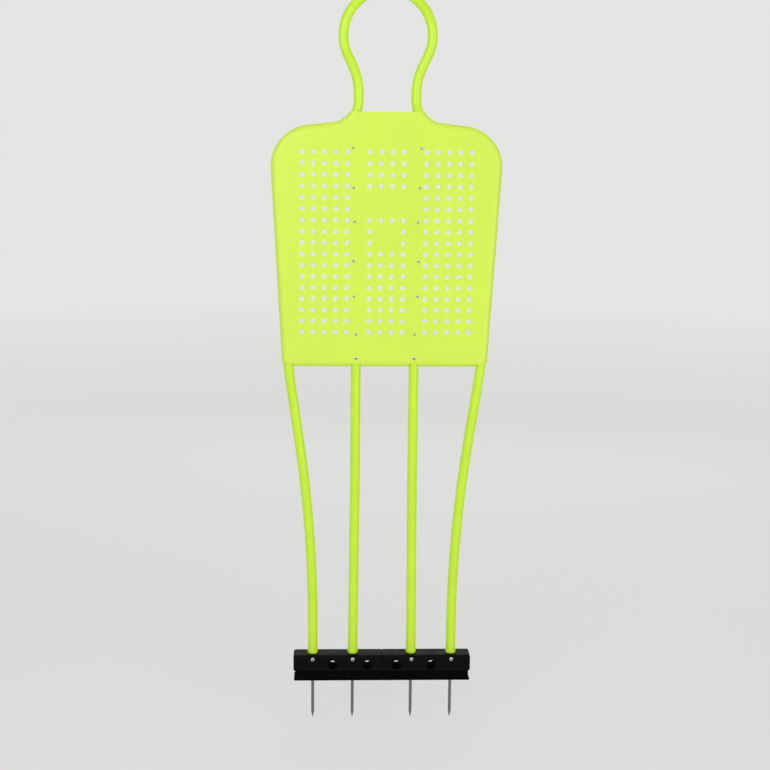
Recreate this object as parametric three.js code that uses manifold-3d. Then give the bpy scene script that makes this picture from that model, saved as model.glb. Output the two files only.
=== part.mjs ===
// Free kick mannequin: a bent tube silhouette with a perforated torso panel, on a spiked base bar.
// Millimetres. +X runs across the figure, +Z is up and the front faces -Y.
// The origin is at the middle of the base's underside, where the base meets the turf.

import * as THREE from 'three';
import { mergeGeometries, mergeVertices } from 'three/addons/utils/BufferGeometryUtils.js';
import Module from 'manifold-3d';

const wasm = await Module();
wasm.setup();

// Clearance of every seat and hole, overrun of every cut, and how near two vertices are one
const fitGap = 0.3;
const cutOverrun = 3;
const weldTolerance = 1e-4;

// Tube stock of the frame
const tubeDiameter = 25.4;
const tubeWall = 1.6;
const tubeSides = 8;
const bendStepAngle = THREE.MathUtils.degToRad(19.2);
const slightBendStepAngle = THREE.MathUtils.degToRad(2.6);
const slightBendSteps = 3;

// Silhouette tube: half widths of its centre line, the heights that stack up to 1800, and its bend radii
const footHalfWidth = 184;
const calfHeightShare = 0.477;
const calfBend = 3500;
const hipHalfWidth = 247.6;
const hipHeight = 835;
const hipBend = 600;
const shoulderHalfWidth = 281.2;
const torsoRise = 596;
const shoulderBend = 89;
const neckHalfWidth = 72;
const shoulderRise = 23.5;
const neckRootBend = 70;
const neckLength = 113.5;
const neckTopBend = 150;
const neckFlareAngle = THREE.MathUtils.degToRad(25);
const headBend = 111;

// Inner leg tubes, which run up behind the panel to the root of the neck
const innerFootHalfWidth = 78;
const innerThighHalfWidth = 74.7;
const innerTopOutset = 8.3;
const innerTopRise = 29.2;
const innerShinHeightShare = 0.67;
const innerWaistRise = 70;
const innerBend = 2500;

// Rolled bead round each tube where it stops on the base
const beadHeight = 9;
const beadStandOut = 1.2;
const beadShoulderHeight = 2.5;

// Torso panel: one formed sheet, rolled back round the silhouette tube
const sheetThickness = 2.4;
const sheetTubeGap = 0.6;
const sheetReturn = 7;
const sheetBendSteps = 3;
const hemRise = 8;
const panelTopRise = 35;
const hemNotchGap = 0.8;
const hemNotchHeight = 8;

// Round holes through the panel, in three blocks of columns
const holeDiameter = 12.5;
const holePitch = 28.5;
const holeSides = 6;
const holeRows = 17;
const firstHoleRowDrop = 99.5;
const centreColumns = [0.5, 1.5];
const sideColumns = [3.5, 4.5, 5.5, 6.5, 7.5];
const bareCentreRows = [4, 5];
const outerOnlyCentreRows = [7, 8];

// Panel screws into the inner tubes, from the hem up, each at or just outside its tube's middle.
// The lowest pair is a size larger.
const panelScrewHeightShares = [0.037, 0.133, 0.285, 0.423, 0.576, 0.708, 0.862];
const panelScrewOutsets = [0, 0, 5, 6, 2, 5, 7];
const panelScrewHead = 8.5;
const panelScrewHeadHeight = 2.6;
const panelScrewShank = 4.2;
const panelScrewLength = 14;
const hemScrewHead = 10.5;
const hemScrewHeadHeight = 3;
const screwSides = 6;
const screwCrownShare = 0.7;

// Base bar: two blocks that meet at a seam, over one set-back sole
const baseLength = 470;
const baseDepth = 60;
const baseTop = 69;
const blockBottom = 26;
const blockEdgeRadius = 9;
const blockEndRadius = 6;
const blockUnderRadius = 3;
const blockRoundingSteps = 2;
const seamWidth = 0.6;
const socketDepth = 39;
const crossHoleDiameter = 25;
const crossHoleHeight = 43;
const crossHoleSides = 10;
const boreSides = 8;

const soleSetBack = 4.5;
const soleLipSetBack = 1.5;
const soleLipHeight = 3;
const soleRibWidth = 7;

// Foot screws, through the block's front face into each tube
const footScrewHeight = 59.5;
const footScrewHead = 10;
const footScrewHeadHeight = 3;
const footScrewShank = 5.5;
const footScrewLength = 36;

// Plug inside each tube's lower end, which the foot screw bites into
const plugLength = 46;
const plugGap = 0.3;

// Screws that hold the sole to the blocks
const soleScrewHead = 11;
const soleScrewHeadHeight = 3;
const soleScrewShank = 5;
const soleScrewLength = 41;
const soleScrewRecess = 4;

// Screw-in steel spikes and the flanged bushes that take their threads
const spikeDiameter = 8;
const spikeLength = 114.5;
const spikeTipLength = 16;
const spikeCollarAcross = 10.4;
const spikeCollarHeight = 5;
const spikeCollarSides = 6;
const spikeShank = 7;
const spikeShankLength = 23;
const spikeSides = 8;
const bushDiameter = 14;
const bushFlange = 22;
const bushFlangeHeight = 3;

// Worked out from the values above
const tubeRadius = tubeDiameter / 2;
const tubeBore = tubeRadius - tubeWall;
const shoulderHeight = hipHeight + torsoRise;
const neckRootHeight = shoulderHeight + shoulderRise;
const neckTopHeight = neckRootHeight + neckLength;
const headCornerHalfWidth = headBend * Math.tan((Math.PI / 2 + neckFlareAngle) / 2);
const headTop = neckTopHeight + (headCornerHalfWidth - neckHalfWidth) / Math.tan(neckFlareAngle);
const figureHeight = headTop + tubeRadius;
const panelBottom = hipHeight + hemRise;
const panelTop = neckRootHeight + panelTopRise;
const panelBendInside = tubeRadius + sheetTubeGap;
const panelBendOutside = panelBendInside + sheetThickness;
const panelHeight = panelTop - panelBottom;
const blockHalfDepth = baseDepth / 2;
const socketFloor = baseTop - socketDepth;
const tubeEnd = socketFloor + fitGap;
const soleTop = blockBottom - fitGap;
const innerHoleHalfWidth = innerFootHalfWidth / 2;
const outerHoleHalfWidth = (innerFootHalfWidth + footHalfWidth) / 2;
const footPositions = [
  ['outer_left', -footHalfWidth],
  ['inner_left', -innerFootHalfWidth],
  ['inner_right', innerFootHalfWidth],
  ['outer_right', footHalfWidth],
];
const soleScrewPositions = [
  ['outer_left', -(outerHoleHalfWidth + footHalfWidth) / 2],
  ['inner_left', -(innerHoleHalfWidth + innerFootHalfWidth) / 2],
  ['inner_right', (innerHoleHalfWidth + innerFootHalfWidth) / 2],
  ['outer_right', (outerHoleHalfWidth + footHalfWidth) / 2],
];

const limePaint = new THREE.MeshStandardMaterial({ color: 0xc3e63e, roughness: 0.4, metalness: 0 });
const limeSheet = new THREE.MeshStandardMaterial({ color: 0xd4f257, roughness: 0.45, metalness: 0 });
const blackPlastic = new THREE.MeshStandardMaterial({ color: 0x141412, roughness: 0.45, metalness: 0 });
const blackRubber = new THREE.MeshStandardMaterial({ color: 0x0c0c0c, roughness: 0.75, metalness: 0 });
const zincSteel = new THREE.MeshStandardMaterial({ color: 0xb4b6b8, roughness: 0.35, metalness: 1 });
const spikeSteel = new THREE.MeshStandardMaterial({ color: 0x767676, roughness: 0.4, metalness: 1 });

/** A path through given stations, so that it is stepped only where the tube turns. */
class StationPath extends THREE.Curve {
  constructor(stations) {
    super();
    this.stations = stations;
  }

  stationAt(u) {
    return this.stations[Math.round(u * (this.stations.length - 1))];
  }

  getPointAt(u, target = new THREE.Vector3()) {
    return target.copy(this.stationAt(u).point);
  }

  getTangentAt(u, target = new THREE.Vector3()) {
    return target.copy(this.stationAt(u).tangent);
  }

  getSpacedPoints() {
    return this.stations.map((station) => station.point.clone());
  }
}

/** How many steps a bend takes: slight bends of a large radius take a few of their own. */
function bendSteps(turn) {
  const slight = Math.min(Math.ceil(turn / slightBendStepAngle), slightBendSteps);
  return Math.max(Math.ceil(turn / bendStepAngle), slight);
}

/** Stations along straight runs joined by round bends, from corners [x, z, bend radius]. */
function bentStations(corners) {
  const at = corners.map(([x, z]) => new THREE.Vector3(x, 0, z));
  const direction = (from, to) => to.clone().sub(from).normalize();
  const last = at.length - 1;
  const stations = [{ point: at[0], tangent: direction(at[0], at[1]) }];
  for (let i = 1; i < last; i += 1) {
    const incoming = direction(at[i - 1], at[i]);
    const outgoing = direction(at[i], at[i + 1]);
    const turn = Math.atan2(incoming.z * outgoing.x - incoming.x * outgoing.z, incoming.dot(outgoing));
    const radius = corners[i][2];
    const start = at[i].clone().addScaledVector(incoming, -radius * Math.tan(Math.abs(turn) / 2));
    const side = new THREE.Vector3(incoming.z, 0, -incoming.x).multiplyScalar(Math.sign(turn));
    const centre = start.clone().addScaledVector(side, radius);
    const steps = bendSteps(Math.abs(turn));
    for (let step = 0; step <= steps; step += 1) {
      const spin = new THREE.Quaternion().setFromAxisAngle(new THREE.Vector3(0, 1, 0), (turn * step) / steps);
      const point = start.clone().sub(centre).applyQuaternion(spin).add(centre);
      stations.push({ point, tangent: incoming.clone().applyQuaternion(spin) });
    }
  }
  stations.push({ point: at[last], tangent: direction(at[last - 1], at[last]) });
  return stations.filter((station, i) => i === 0 || station.point.distanceTo(stations[i - 1].point) > fitGap);
}

/** A closed regular polygon, as a loop of points. */
function polygonPoints(radius, sides) {
  const points = [];
  for (let i = 0; i < sides; i += 1) {
    const angle = (2 * Math.PI * (i + 0.5)) / sides;
    points.push(new THREE.Vector2(radius * Math.cos(angle), radius * Math.sin(angle)));
  }
  return points;
}

/** A tube, or a rod when it has no bore, swept along stations. */
function sweptTube(stations, outerRadius, boreRadius = 0) {
  const section = new THREE.Shape(polygonPoints(outerRadius, tubeSides));
  if (boreRadius > 0) {
    section.holes.push(new THREE.Path(polygonPoints(boreRadius, tubeSides).reverse()));
  }
  const extrudePath = new StationPath(stations);
  return new THREE.ExtrudeGeometry(section, { steps: stations.length - 1, extrudePath });
}

/** A body turned about +Z from [radius, height] points, with regular sides. */
function turned(profile, sides) {
  const points = profile.map(([radius, height]) => new THREE.Vector2(radius, height));
  return new THREE.LatheGeometry(points, sides).rotateX(Math.PI / 2);
}

/** The radius of a faceted hole whose flats clear a shaft of a diameter, whichever way it is turned. */
function clearRadius(diameter, sides) {
  return (diameter / 2 + fitGap) / Math.cos(Math.PI / sides);
}

/** A round bar along +Z between two heights, for cuts and joins. */
function uprightBar(radius, low, high, sides) {
  const bar = new THREE.CylinderGeometry(radius, radius, high - low, sides).rotateX(Math.PI / 2);
  return bar.translate(0, 0, (low + high) / 2);
}

/** A round bar along Y between two depths, for cuts through front faces. */
function crossBar(radius, front, back, sides) {
  const bar = new THREE.CylinderGeometry(radius, radius, back - front, sides);
  return bar.rotateY(Math.PI / sides).translate(0, (front + back) / 2, 0);
}

/** A box between two corners. */
function boxBetween(low, high) {
  const size = high.map((value, i) => value - low[i]);
  const middle = high.map((value, i) => (value + low[i]) / 2);
  return new THREE.BoxGeometry(...size).translate(...middle);
}

/** The manifold solid of a closed geometry. */
function solidOf(geometry) {
  const merged = bareIndexed(geometry);
  return new wasm.Manifold(new wasm.Mesh({
    numProp: 3,
    vertProperties: new Float32Array(merged.attributes.position.array),
    triVerts: new Uint32Array(merged.index.array),
  }));
}

/** The geometry of a manifold solid. */
function geometryOf(solid) {
  const mesh = solid.getMesh();
  const geometry = new THREE.BufferGeometry();
  geometry.setAttribute('position', new THREE.BufferAttribute(mesh.vertProperties, 3));
  geometry.setIndex(new THREE.BufferAttribute(mesh.triVerts, 1));
  geometry.computeVertexNormals();
  return geometry;
}

/** One geometry with others cut from it. The cutters don't touch each other. */
function cut(body, cutters) {
  return geometryOf(solidOf(body).subtract(solidOf(mergeGeometries(cutters.map(bareIndexed)))));
}

/** One geometry with another joined to it. */
function join(body, added) {
  return geometryOf(solidOf(body).add(solidOf(added)));
}

/** A copy with positions and an index only, so that unlike geometries can be merged. */
function bareIndexed(geometry) {
  const bare = geometry.clone();
  bare.deleteAttribute('normal');
  bare.deleteAttribute('uv');
  return mergeVertices(bare, weldTolerance);
}

/** Corners of one half of the silhouette tube, from its foot up to the top of the head. */
function halfSilhouetteCorners() {
  return [
    [footHalfWidth, tubeEnd],
    [footHalfWidth, hipHeight * calfHeightShare, calfBend],
    [hipHalfWidth, hipHeight, hipBend],
    [shoulderHalfWidth, shoulderHeight, shoulderBend],
    [neckHalfWidth, neckRootHeight, neckRootBend],
    [neckHalfWidth, neckTopHeight, neckTopBend],
    [headCornerHalfWidth, headTop, headBend],
  ];
}

const halfCorners = halfSilhouetteCorners();
const silhouetteStations = bentStations([
  ...halfCorners,
  ...halfCorners.toReversed().map(([x, z, bend]) => [-x, z, bend]),
]);

/** Stations of one inner tube on the +X side, whose top runs on into the neck's root. */
const innerStations = bentStations([
  [innerFootHalfWidth, tubeEnd],
  [innerThighHalfWidth, hipHeight * innerShinHeightShare, innerBend],
  [innerThighHalfWidth, hipHeight + innerWaistRise, innerBend],
  [neckHalfWidth + innerTopOutset, neckRootHeight + innerTopRise],
]);

/** Where the inner tube's centre line is at a height, as a half width. */
function innerHalfWidthAt(height) {
  const after = innerStations.findIndex((station) => station.point.z > height);
  const above = innerStations[after].point;
  const below = innerStations[after - 1].point;
  return below.x + ((above.x - below.x) * (height - below.z)) / (above.z - below.z);
}

/** The rolled bead that rests on the base, with its flats over the tube's flats. */
function footBead() {
  const radius = tubeRadius + beadStandOut;
  const insideWall = tubeBore + tubeWall / 2;
  const low = baseTop + fitGap;
  const high = low + beadHeight;
  return turned([
    [insideWall, low],
    [radius, low],
    [radius, high - beadShoulderHeight],
    [insideWall, high],
    [insideWall, low],
  ], tubeSides).rotateZ(Math.PI / tubeSides);
}

/** The cross hole for a foot screw, through a tube's front wall at its lower end. */
function footScrewHole(front, back) {
  const radius = clearRadius(footScrewShank, screwSides);
  return crossBar(radius, front, back, screwSides).translate(0, 0, footScrewHeight);
}

/** Half widths and heights of the panel screws, from the hem up. */
const panelScrewPlaces = panelScrewHeightShares.map((share, i) => {
  const height = panelBottom + share * panelHeight;
  return [innerHalfWidthAt(height) + panelScrewOutsets[i], height];
});

/** The continuous silhouette tube: legs, sides, shoulders, neck and head loop. */
function makeOuterTube() {
  const tube = sweptTube(silhouetteStations, tubeRadius, tubeBore);
  const beads = [-footHalfWidth, footHalfWidth].map((x) => footBead().translate(x, 0, 0));
  const beaded = join(join(tube, beads[0]), beads[1]);
  return cut(beaded, [-footHalfWidth, footHalfWidth].map((x) => (
    footScrewHole(-tubeRadius - cutOverrun, 0).translate(x, 0, 0)
  )));
}

/** One inner tube on the +X side, coped to the bend at the neck's root and drilled for its screws. */
function makeInnerTube() {
  const tube = sweptTube(innerStations, tubeRadius, tubeBore);
  const beaded = join(tube, footBead().translate(innerFootHalfWidth, 0, 0));
  const cope = sweptTube(silhouetteStations, tubeRadius + fitGap);
  const coped = geometryOf(solidOf(beaded).subtract(solidOf(cope)));
  const holes = panelScrewPlaces.map(([x, height]) => (
    crossBar(clearRadius(panelScrewShank, screwSides), -tubeRadius - cutOverrun, 0, screwSides)
      .translate(x, 0, height)
  ));
  holes.push(footScrewHole(-tubeRadius - cutOverrun, 0).translate(innerFootHalfWidth, 0, 0));
  return cut(coped, holes);
}

/** The tube's centre line round the panel, closed along the hem. */
function panelShape(hemHeight) {
  const halfPoints = [];
  const neckPoint = new THREE.Vector2(neckHalfWidth, panelTop + tubeDiameter);
  const onPanel = silhouetteStations
    .map((station) => station.point)
    .filter((point) => point.x > 0 && point.z > hemHeight + fitGap && point.z < panelTop + tubeDiameter);
  const crossing = silhouetteStations.findIndex((station) => station.point.z > hemHeight);
  const above = silhouetteStations[crossing].point;
  const below = silhouetteStations[crossing - 1].point;
  const hemX = below.x + ((above.x - below.x) * (hemHeight - below.z)) / (above.z - below.z);
  halfPoints.push(new THREE.Vector2(hemX, hemHeight));
  onPanel.forEach((point) => halfPoints.push(new THREE.Vector2(point.x, point.z)));
  halfPoints.push(neckPoint);
  const otherHalf = halfPoints.toReversed().map((point) => new THREE.Vector2(-point.x, point.y));
  return new THREE.Shape([...halfPoints, ...otherHalf]);
}

/** A tray form whose front edge is rounded by a radius, set round the tube's centre line. */
function trayForm(radius, wallBack) {
  const form = new THREE.ExtrudeGeometry(panelShape(panelBottom + panelBendOutside), {
    depth: wallBack,
    bevelEnabled: true,
    bevelThickness: radius,
    bevelSize: radius,
    bevelSegments: sheetBendSteps,
    steps: 1,
  });
  return form.translate(0, 0, -wallBack).rotateX(Math.PI / 2);
}

/** Centres of the panel's round holes, as [x, z]. */
function holeCentres() {
  const centres = [];
  for (let row = 0; row < holeRows; row += 1) {
    const height = panelTop - firstHoleRowDrop - row * holePitch;
    const centre = centreColumns.filter((column) => {
      if (bareCentreRows.includes(row)) {
        return false;
      }
      return !outerOnlyCentreRows.includes(row) || column === Math.max(...centreColumns);
    });
    [...centre, ...sideColumns].forEach((column) => {
      centres.push([column * holePitch, height], [-column * holePitch, height]);
    });
  }
  return centres;
}

/** The perforated torso panel. */
function makeTorsoPanel() {
  const reach = shoulderHalfWidth + tubeDiameter + cutOverrun;
  const outside = solidOf(trayForm(panelBendOutside, sheetReturn));
  const inside = solidOf(trayForm(panelBendInside, panelBendOutside + 2 * sheetReturn));
  const behind = boxBetween(
    [-reach, sheetReturn, 0],
    [reach, 2 * (panelBendOutside + sheetReturn), figureHeight],
  );
  const overTop = boxBetween(
    [-reach, -tubeDiameter, panelTop],
    [reach, tubeDiameter + sheetReturn, figureHeight],
  );
  let panel = outside.subtract(inside).subtract(solidOf(behind)).subtract(solidOf(overTop));
  const notchHalfWidth = tubeRadius + hemNotchGap;
  const hemHalfWidth = hipHalfWidth + (panelBottom - hipHeight) * Math.tan(sideLean());
  const notchTop = panelBottom + hemNotchHeight;
  [
    [-reach, -hemHalfWidth + notchHalfWidth],
    [-innerThighHalfWidth - notchHalfWidth, -innerThighHalfWidth + notchHalfWidth],
    [innerThighHalfWidth - notchHalfWidth, innerThighHalfWidth + notchHalfWidth],
    [hemHalfWidth - notchHalfWidth, reach],
  ].forEach(([from, to]) => {
    const notch = boxBetween(
      [from, -tubeDiameter, panelBottom - cutOverrun],
      [to, tubeDiameter, notchTop],
    );
    panel = panel.subtract(solidOf(notch));
  });
  panel = panel.subtract(hemClearance(reach));
  const front = -panelBendOutside - cutOverrun;
  const back = -panelBendInside + cutOverrun;
  const holes = holeCentres().map(([x, z]) => (
    crossBar(holeDiameter / 2, front, back, holeSides).translate(x, 0, z)
  ));
  panelScrewPlaces.forEach(([x, height]) => {
    [-x, x].forEach((across) => {
      const bore = crossBar(clearRadius(panelScrewShank, screwSides), front, back, screwSides);
      holes.push(bore.translate(across, 0, height));
    });
  });
  return cut(geometryOf(panel), holes);
}

/** The four tubes with their clearance, where they pass through the panel's hem. */
function hemClearance(reach) {
  const band = solidOf(boxBetween(
    [-reach, -tubeDiameter, panelBottom - cutOverrun],
    [reach, tubeDiameter, panelBottom + panelBendOutside],
  ));
  const radius = tubeRadius + fitGap;
  const outer = solidOf(sweptTube(silhouetteStations, radius));
  const right = solidOf(sweptTube(innerStations, radius));
  return outer.add(right).add(right.mirror([1, 0, 0])).intersect(band);
}

/** How far the figure's side leans from upright between hip and shoulder. */
function sideLean() {
  return Math.atan2(shoulderHalfWidth - hipHalfWidth, shoulderHeight - hipHeight);
}

/** A rectangle with a radius at each corner, listed from the upper right one round. */
function roundedRectangle(halfWidth, low, high, topRadius, underRadius) {
  const shape = new THREE.Shape();
  shape.moveTo(halfWidth, low + underRadius);
  shape.lineTo(halfWidth, high - topRadius);
  shape.absarc(halfWidth - topRadius, high - topRadius, topRadius, 0, Math.PI / 2);
  shape.lineTo(-halfWidth + topRadius, high);
  shape.absarc(-halfWidth + topRadius, high - topRadius, topRadius, Math.PI / 2, Math.PI);
  shape.lineTo(-halfWidth, low + underRadius);
  shape.absarc(-halfWidth + underRadius, low + underRadius, underRadius, Math.PI, 1.5 * Math.PI);
  shape.lineTo(halfWidth - underRadius, low);
  shape.absarc(halfWidth - underRadius, low + underRadius, underRadius, 1.5 * Math.PI, 2 * Math.PI);
  return shape;
}

/** A bar along X with a rounded section and rounded ends, centred on the seam. */
function baseBar(halfLength, halfDepth, low, high, topRadius, underRadius, endRadius) {
  const section = roundedRectangle(
    halfDepth - endRadius,
    low + endRadius,
    high - endRadius,
    topRadius - endRadius,
    underRadius,
  );
  const bar = new THREE.ExtrudeGeometry(section, {
    depth: 2 * (halfLength - endRadius),
    bevelEnabled: true,
    bevelThickness: endRadius,
    bevelSize: endRadius,
    bevelSegments: blockRoundingSteps,
    curveSegments: blockRoundingSteps,
    steps: 1,
  });
  return bar.translate(0, 0, endRadius - halfLength).rotateX(Math.PI / 2).rotateZ(Math.PI / 2);
}

/** One base block on the +X side, with its tube sockets, cross holes and screw holes. */
function makeBaseBlock() {
  const bar = baseBar(
    baseLength / 2,
    blockHalfDepth,
    blockBottom,
    baseTop,
    blockEdgeRadius,
    blockUnderRadius,
    blockEndRadius,
  );
  const otherHalf = boxBetween(
    [-baseLength, -baseDepth, 0],
    [seamWidth / 2, baseDepth, 2 * baseTop],
  );
  let block = solidOf(bar).subtract(solidOf(otherHalf));
  [innerFootHalfWidth, footHalfWidth].forEach((x) => {
    const socketRadius = clearRadius(tubeDiameter, crossHoleSides);
    const socket = uprightBar(socketRadius, socketFloor, baseTop + cutOverrun, crossHoleSides);
    const screwHole = footScrewHole(-baseDepth, 0);
    block = block.subtract(solidOf(socket.translate(x, 0, 0)));
    block = block.subtract(solidOf(screwHole.translate(x, 0, 0)));
  });
  [innerHoleHalfWidth, outerHoleHalfWidth].forEach((x) => {
    const hole = crossBar(crossHoleDiameter / 2, -baseDepth, baseDepth, crossHoleSides);
    block = block.subtract(solidOf(hole.translate(x, 0, crossHoleHeight)));
  });
  soleScrewPositions.filter(([, x]) => x > 0).forEach(([, x]) => {
    const top = soleScrewRecess + soleScrewLength + cutOverrun;
    const hole = uprightBar(clearRadius(soleScrewShank, screwSides), 0, top, screwSides);
    block = block.subtract(solidOf(hole.translate(x, 0, 0)));
  });
  return geometryOf(block);
}

/** The one-piece sole under both blocks, with a lip, ribs, bush bores and screw recesses. */
function makeSole() {
  const halfLength = baseLength / 2;
  const body = boxBetween(
    [-halfLength + soleSetBack, -blockHalfDepth + soleSetBack, 0],
    [halfLength - soleSetBack, blockHalfDepth - soleSetBack, soleTop],
  );
  const lip = boxBetween(
    [-halfLength + soleLipSetBack, -blockHalfDepth + soleLipSetBack, 0],
    [halfLength - soleLipSetBack, blockHalfDepth - soleLipSetBack, soleLipHeight],
  );
  let sole = solidOf(body).add(solidOf(lip));
  [0, ...footPositions.map(([, x]) => x)].forEach((x) => {
    const rib = boxBetween(
      [x - soleRibWidth / 2, -blockHalfDepth + soleLipSetBack, 0],
      [x + soleRibWidth / 2, blockHalfDepth - soleLipSetBack, soleTop],
    );
    sole = sole.add(solidOf(rib));
  });
  const below = -cutOverrun;
  const above = soleTop + cutOverrun;
  footPositions.forEach(([, x]) => {
    const bore = uprightBar(clearRadius(bushDiameter, boreSides), below, above, boreSides);
    const seatLow = soleTop - fitGap - bushFlangeHeight - fitGap;
    const seat = uprightBar(clearRadius(bushFlange, boreSides), seatLow, above, boreSides);
    sole = sole.subtract(solidOf(bore.translate(x, 0, 0))).subtract(solidOf(seat.translate(x, 0, 0)));
  });
  soleScrewPositions.forEach(([, x]) => {
    const bore = uprightBar(clearRadius(soleScrewShank, screwSides), below, above, screwSides);
    const recess = uprightBar(clearRadius(soleScrewHead, boreSides), below, soleScrewRecess, boreSides);
    sole = sole.subtract(solidOf(bore.translate(x, 0, 0))).subtract(solidOf(recess.translate(x, 0, 0)));
  });
  return geometryOf(sole);
}

/** The plug in a tube's lower end, cross-drilled for the foot screw. */
function makeTubePlug() {
  const radius = tubeBore * Math.cos(Math.PI / tubeSides) - plugGap;
  const plug = uprightBar(radius, tubeEnd, tubeEnd + plugLength, tubeSides);
  const deep = footScrewLength - blockHalfDepth + cutOverrun;
  return cut(plug, [footScrewHole(-tubeDiameter, deep)]);
}

/** A pan head screw whose shank points along -Z from its head's seat at the origin. */
function makePanScrew(headDiameter, headHeight, shankDiameter, length) {
  const headRadius = headDiameter / 2;
  const shankRadius = shankDiameter / 2;
  const point = shankDiameter;
  return turned([
    [0, -length],
    [shankRadius, -length + point],
    [shankRadius, 0],
    [headRadius, 0],
    [headRadius, headHeight / 2],
    [headRadius * screwCrownShare, headHeight],
    [0, headHeight],
  ], screwSides);
}

/** The flanged bush that a spike screws into, from the sole's underside up. */
function makeSpikeBush() {
  const radius = bushDiameter / 2;
  const bore = clearRadius(spikeShank, spikeSides);
  const top = soleTop - fitGap;
  return turned([
    [bore, fitGap],
    [radius, fitGap],
    [radius, top - bushFlangeHeight],
    [bushFlange / 2, top - bushFlangeHeight],
    [bushFlange / 2, top],
    [bore, top],
    [bore, fitGap],
  ], spikeSides);
}

/** A spike whose spanner collar sits just under the sole, at the origin. */
function makeSpike() {
  const radius = spikeDiameter / 2;
  const shank = spikeShank / 2;
  const rod = turned([
    [0, -spikeLength],
    [radius, -spikeLength + spikeTipLength],
    [radius, -fitGap],
    [shank, -fitGap],
    [shank, spikeShankLength],
    [0, spikeShankLength],
  ], spikeSides);
  const collar = uprightBar(spikeCollarAcross / 2, -fitGap - spikeCollarHeight, -fitGap, spikeCollarSides);
  return join(rod, collar);
}

/** A named part of the model. */
function part(name, geometry, material) {
  const mesh = new THREE.Mesh(geometry, material);
  mesh.name = name;
  return mesh;
}

/** A copy of a part's geometry mirrored to the -X side, with its faces still pointing out. */
function mirrored(geometry) {
  return geometryOf(solidOf(geometry).mirror([1, 0, 0]));
}

const mannequin = new THREE.Group();

const frame = new THREE.Group();
frame.add(part('outer_tube', makeOuterTube(), limePaint));
const innerTube = makeInnerTube();
frame.add(part('inner_tube_right', innerTube, limePaint));
frame.add(part('inner_tube_left', mirrored(innerTube), limePaint));
mannequin.add(frame);

const torso = new THREE.Group();
torso.add(part('torso_panel', makeTorsoPanel(), limeSheet));
panelScrewPlaces.forEach(([x, height], i) => {
  const isHem = i === 0;
  const head = isHem ? hemScrewHead : panelScrewHead;
  const headHeight = isHem ? hemScrewHeadHeight : panelScrewHeadHeight;
  const screw = makePanScrew(head, headHeight, panelScrewShank, panelScrewLength);
  [['left', -1], ['right', 1]].forEach(([sideName, side]) => {
    const mesh = part(`panel_screw_${sideName}_${i + 1}`, screw, zincSteel);
    mesh.rotation.x = Math.PI / 2;
    mesh.position.set(side * x, -panelBendOutside - fitGap, height);
    torso.add(mesh);
  });
});
mannequin.add(torso);

const base = new THREE.Group();
const block = makeBaseBlock();
base.add(part('base_block_right', block, blackPlastic));
base.add(part('base_block_left', mirrored(block), blackPlastic));
base.add(part('sole', makeSole(), blackRubber));
const plug = makeTubePlug();
const bush = makeSpikeBush();
const spike = makeSpike();
const footScrew = makePanScrew(footScrewHead, footScrewHeadHeight, footScrewShank, footScrewLength);
footPositions.forEach(([name, x]) => {
  const tubePlug = part(`tube_plug_${name}`, plug, blackPlastic);
  tubePlug.position.x = x;
  const screw = part(`foot_screw_${name}`, footScrew, zincSteel);
  screw.rotation.x = Math.PI / 2;
  screw.position.set(x, -blockHalfDepth - fitGap, footScrewHeight);
  const spikeBush = part(`spike_bush_${name}`, bush, zincSteel);
  spikeBush.position.x = x;
  const spikeRod = part(`spike_${name}`, spike, spikeSteel);
  spikeRod.position.x = x;
  base.add(tubePlug, screw, spikeBush, spikeRod);
});
const soleScrew = makePanScrew(soleScrewHead, soleScrewHeadHeight, soleScrewShank, soleScrewLength);
soleScrewPositions.forEach(([name, x]) => {
  const screw = part(`sole_screw_${name}`, soleScrew, zincSteel);
  screw.rotation.x = Math.PI;
  screw.position.set(x, 0, soleScrewRecess - fitGap);
  base.add(screw);
});
mannequin.add(base);

export default mannequin;
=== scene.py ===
"""Free kick mannequin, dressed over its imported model.

A bent tube silhouette of a player carries a perforated plastic torso sheet and stands on a black moulded
base bar with four screw-in spikes. Lengths are in metres. +X runs across the figure, +Z is up, the front
faces -Y, and the origin is at the middle of the base's underside.
"""

import logging
import math
from collections.abc import Callable, Iterable, Sequence
from dataclasses import dataclass, field
from enum import Enum
from typing import Any

import bpy
import bmesh
from mathutils import Matrix, Vector
from mathutils.geometry import delaunay_2d_cdt, intersect_point_line


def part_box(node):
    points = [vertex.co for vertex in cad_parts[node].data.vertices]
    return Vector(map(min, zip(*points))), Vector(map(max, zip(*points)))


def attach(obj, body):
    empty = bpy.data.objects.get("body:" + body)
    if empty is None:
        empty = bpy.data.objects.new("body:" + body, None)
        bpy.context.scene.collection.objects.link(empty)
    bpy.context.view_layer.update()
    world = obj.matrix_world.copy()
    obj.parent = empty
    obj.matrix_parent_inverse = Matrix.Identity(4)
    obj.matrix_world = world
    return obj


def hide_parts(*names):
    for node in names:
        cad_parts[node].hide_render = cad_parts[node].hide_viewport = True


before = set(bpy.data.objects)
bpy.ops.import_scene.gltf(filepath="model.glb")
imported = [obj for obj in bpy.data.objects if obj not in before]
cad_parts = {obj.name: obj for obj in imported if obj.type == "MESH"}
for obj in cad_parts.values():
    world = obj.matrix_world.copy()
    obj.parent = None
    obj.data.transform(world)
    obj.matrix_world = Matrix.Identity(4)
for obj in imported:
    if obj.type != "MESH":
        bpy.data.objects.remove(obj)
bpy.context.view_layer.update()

log = logging.getLogger("mannequin")

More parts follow.
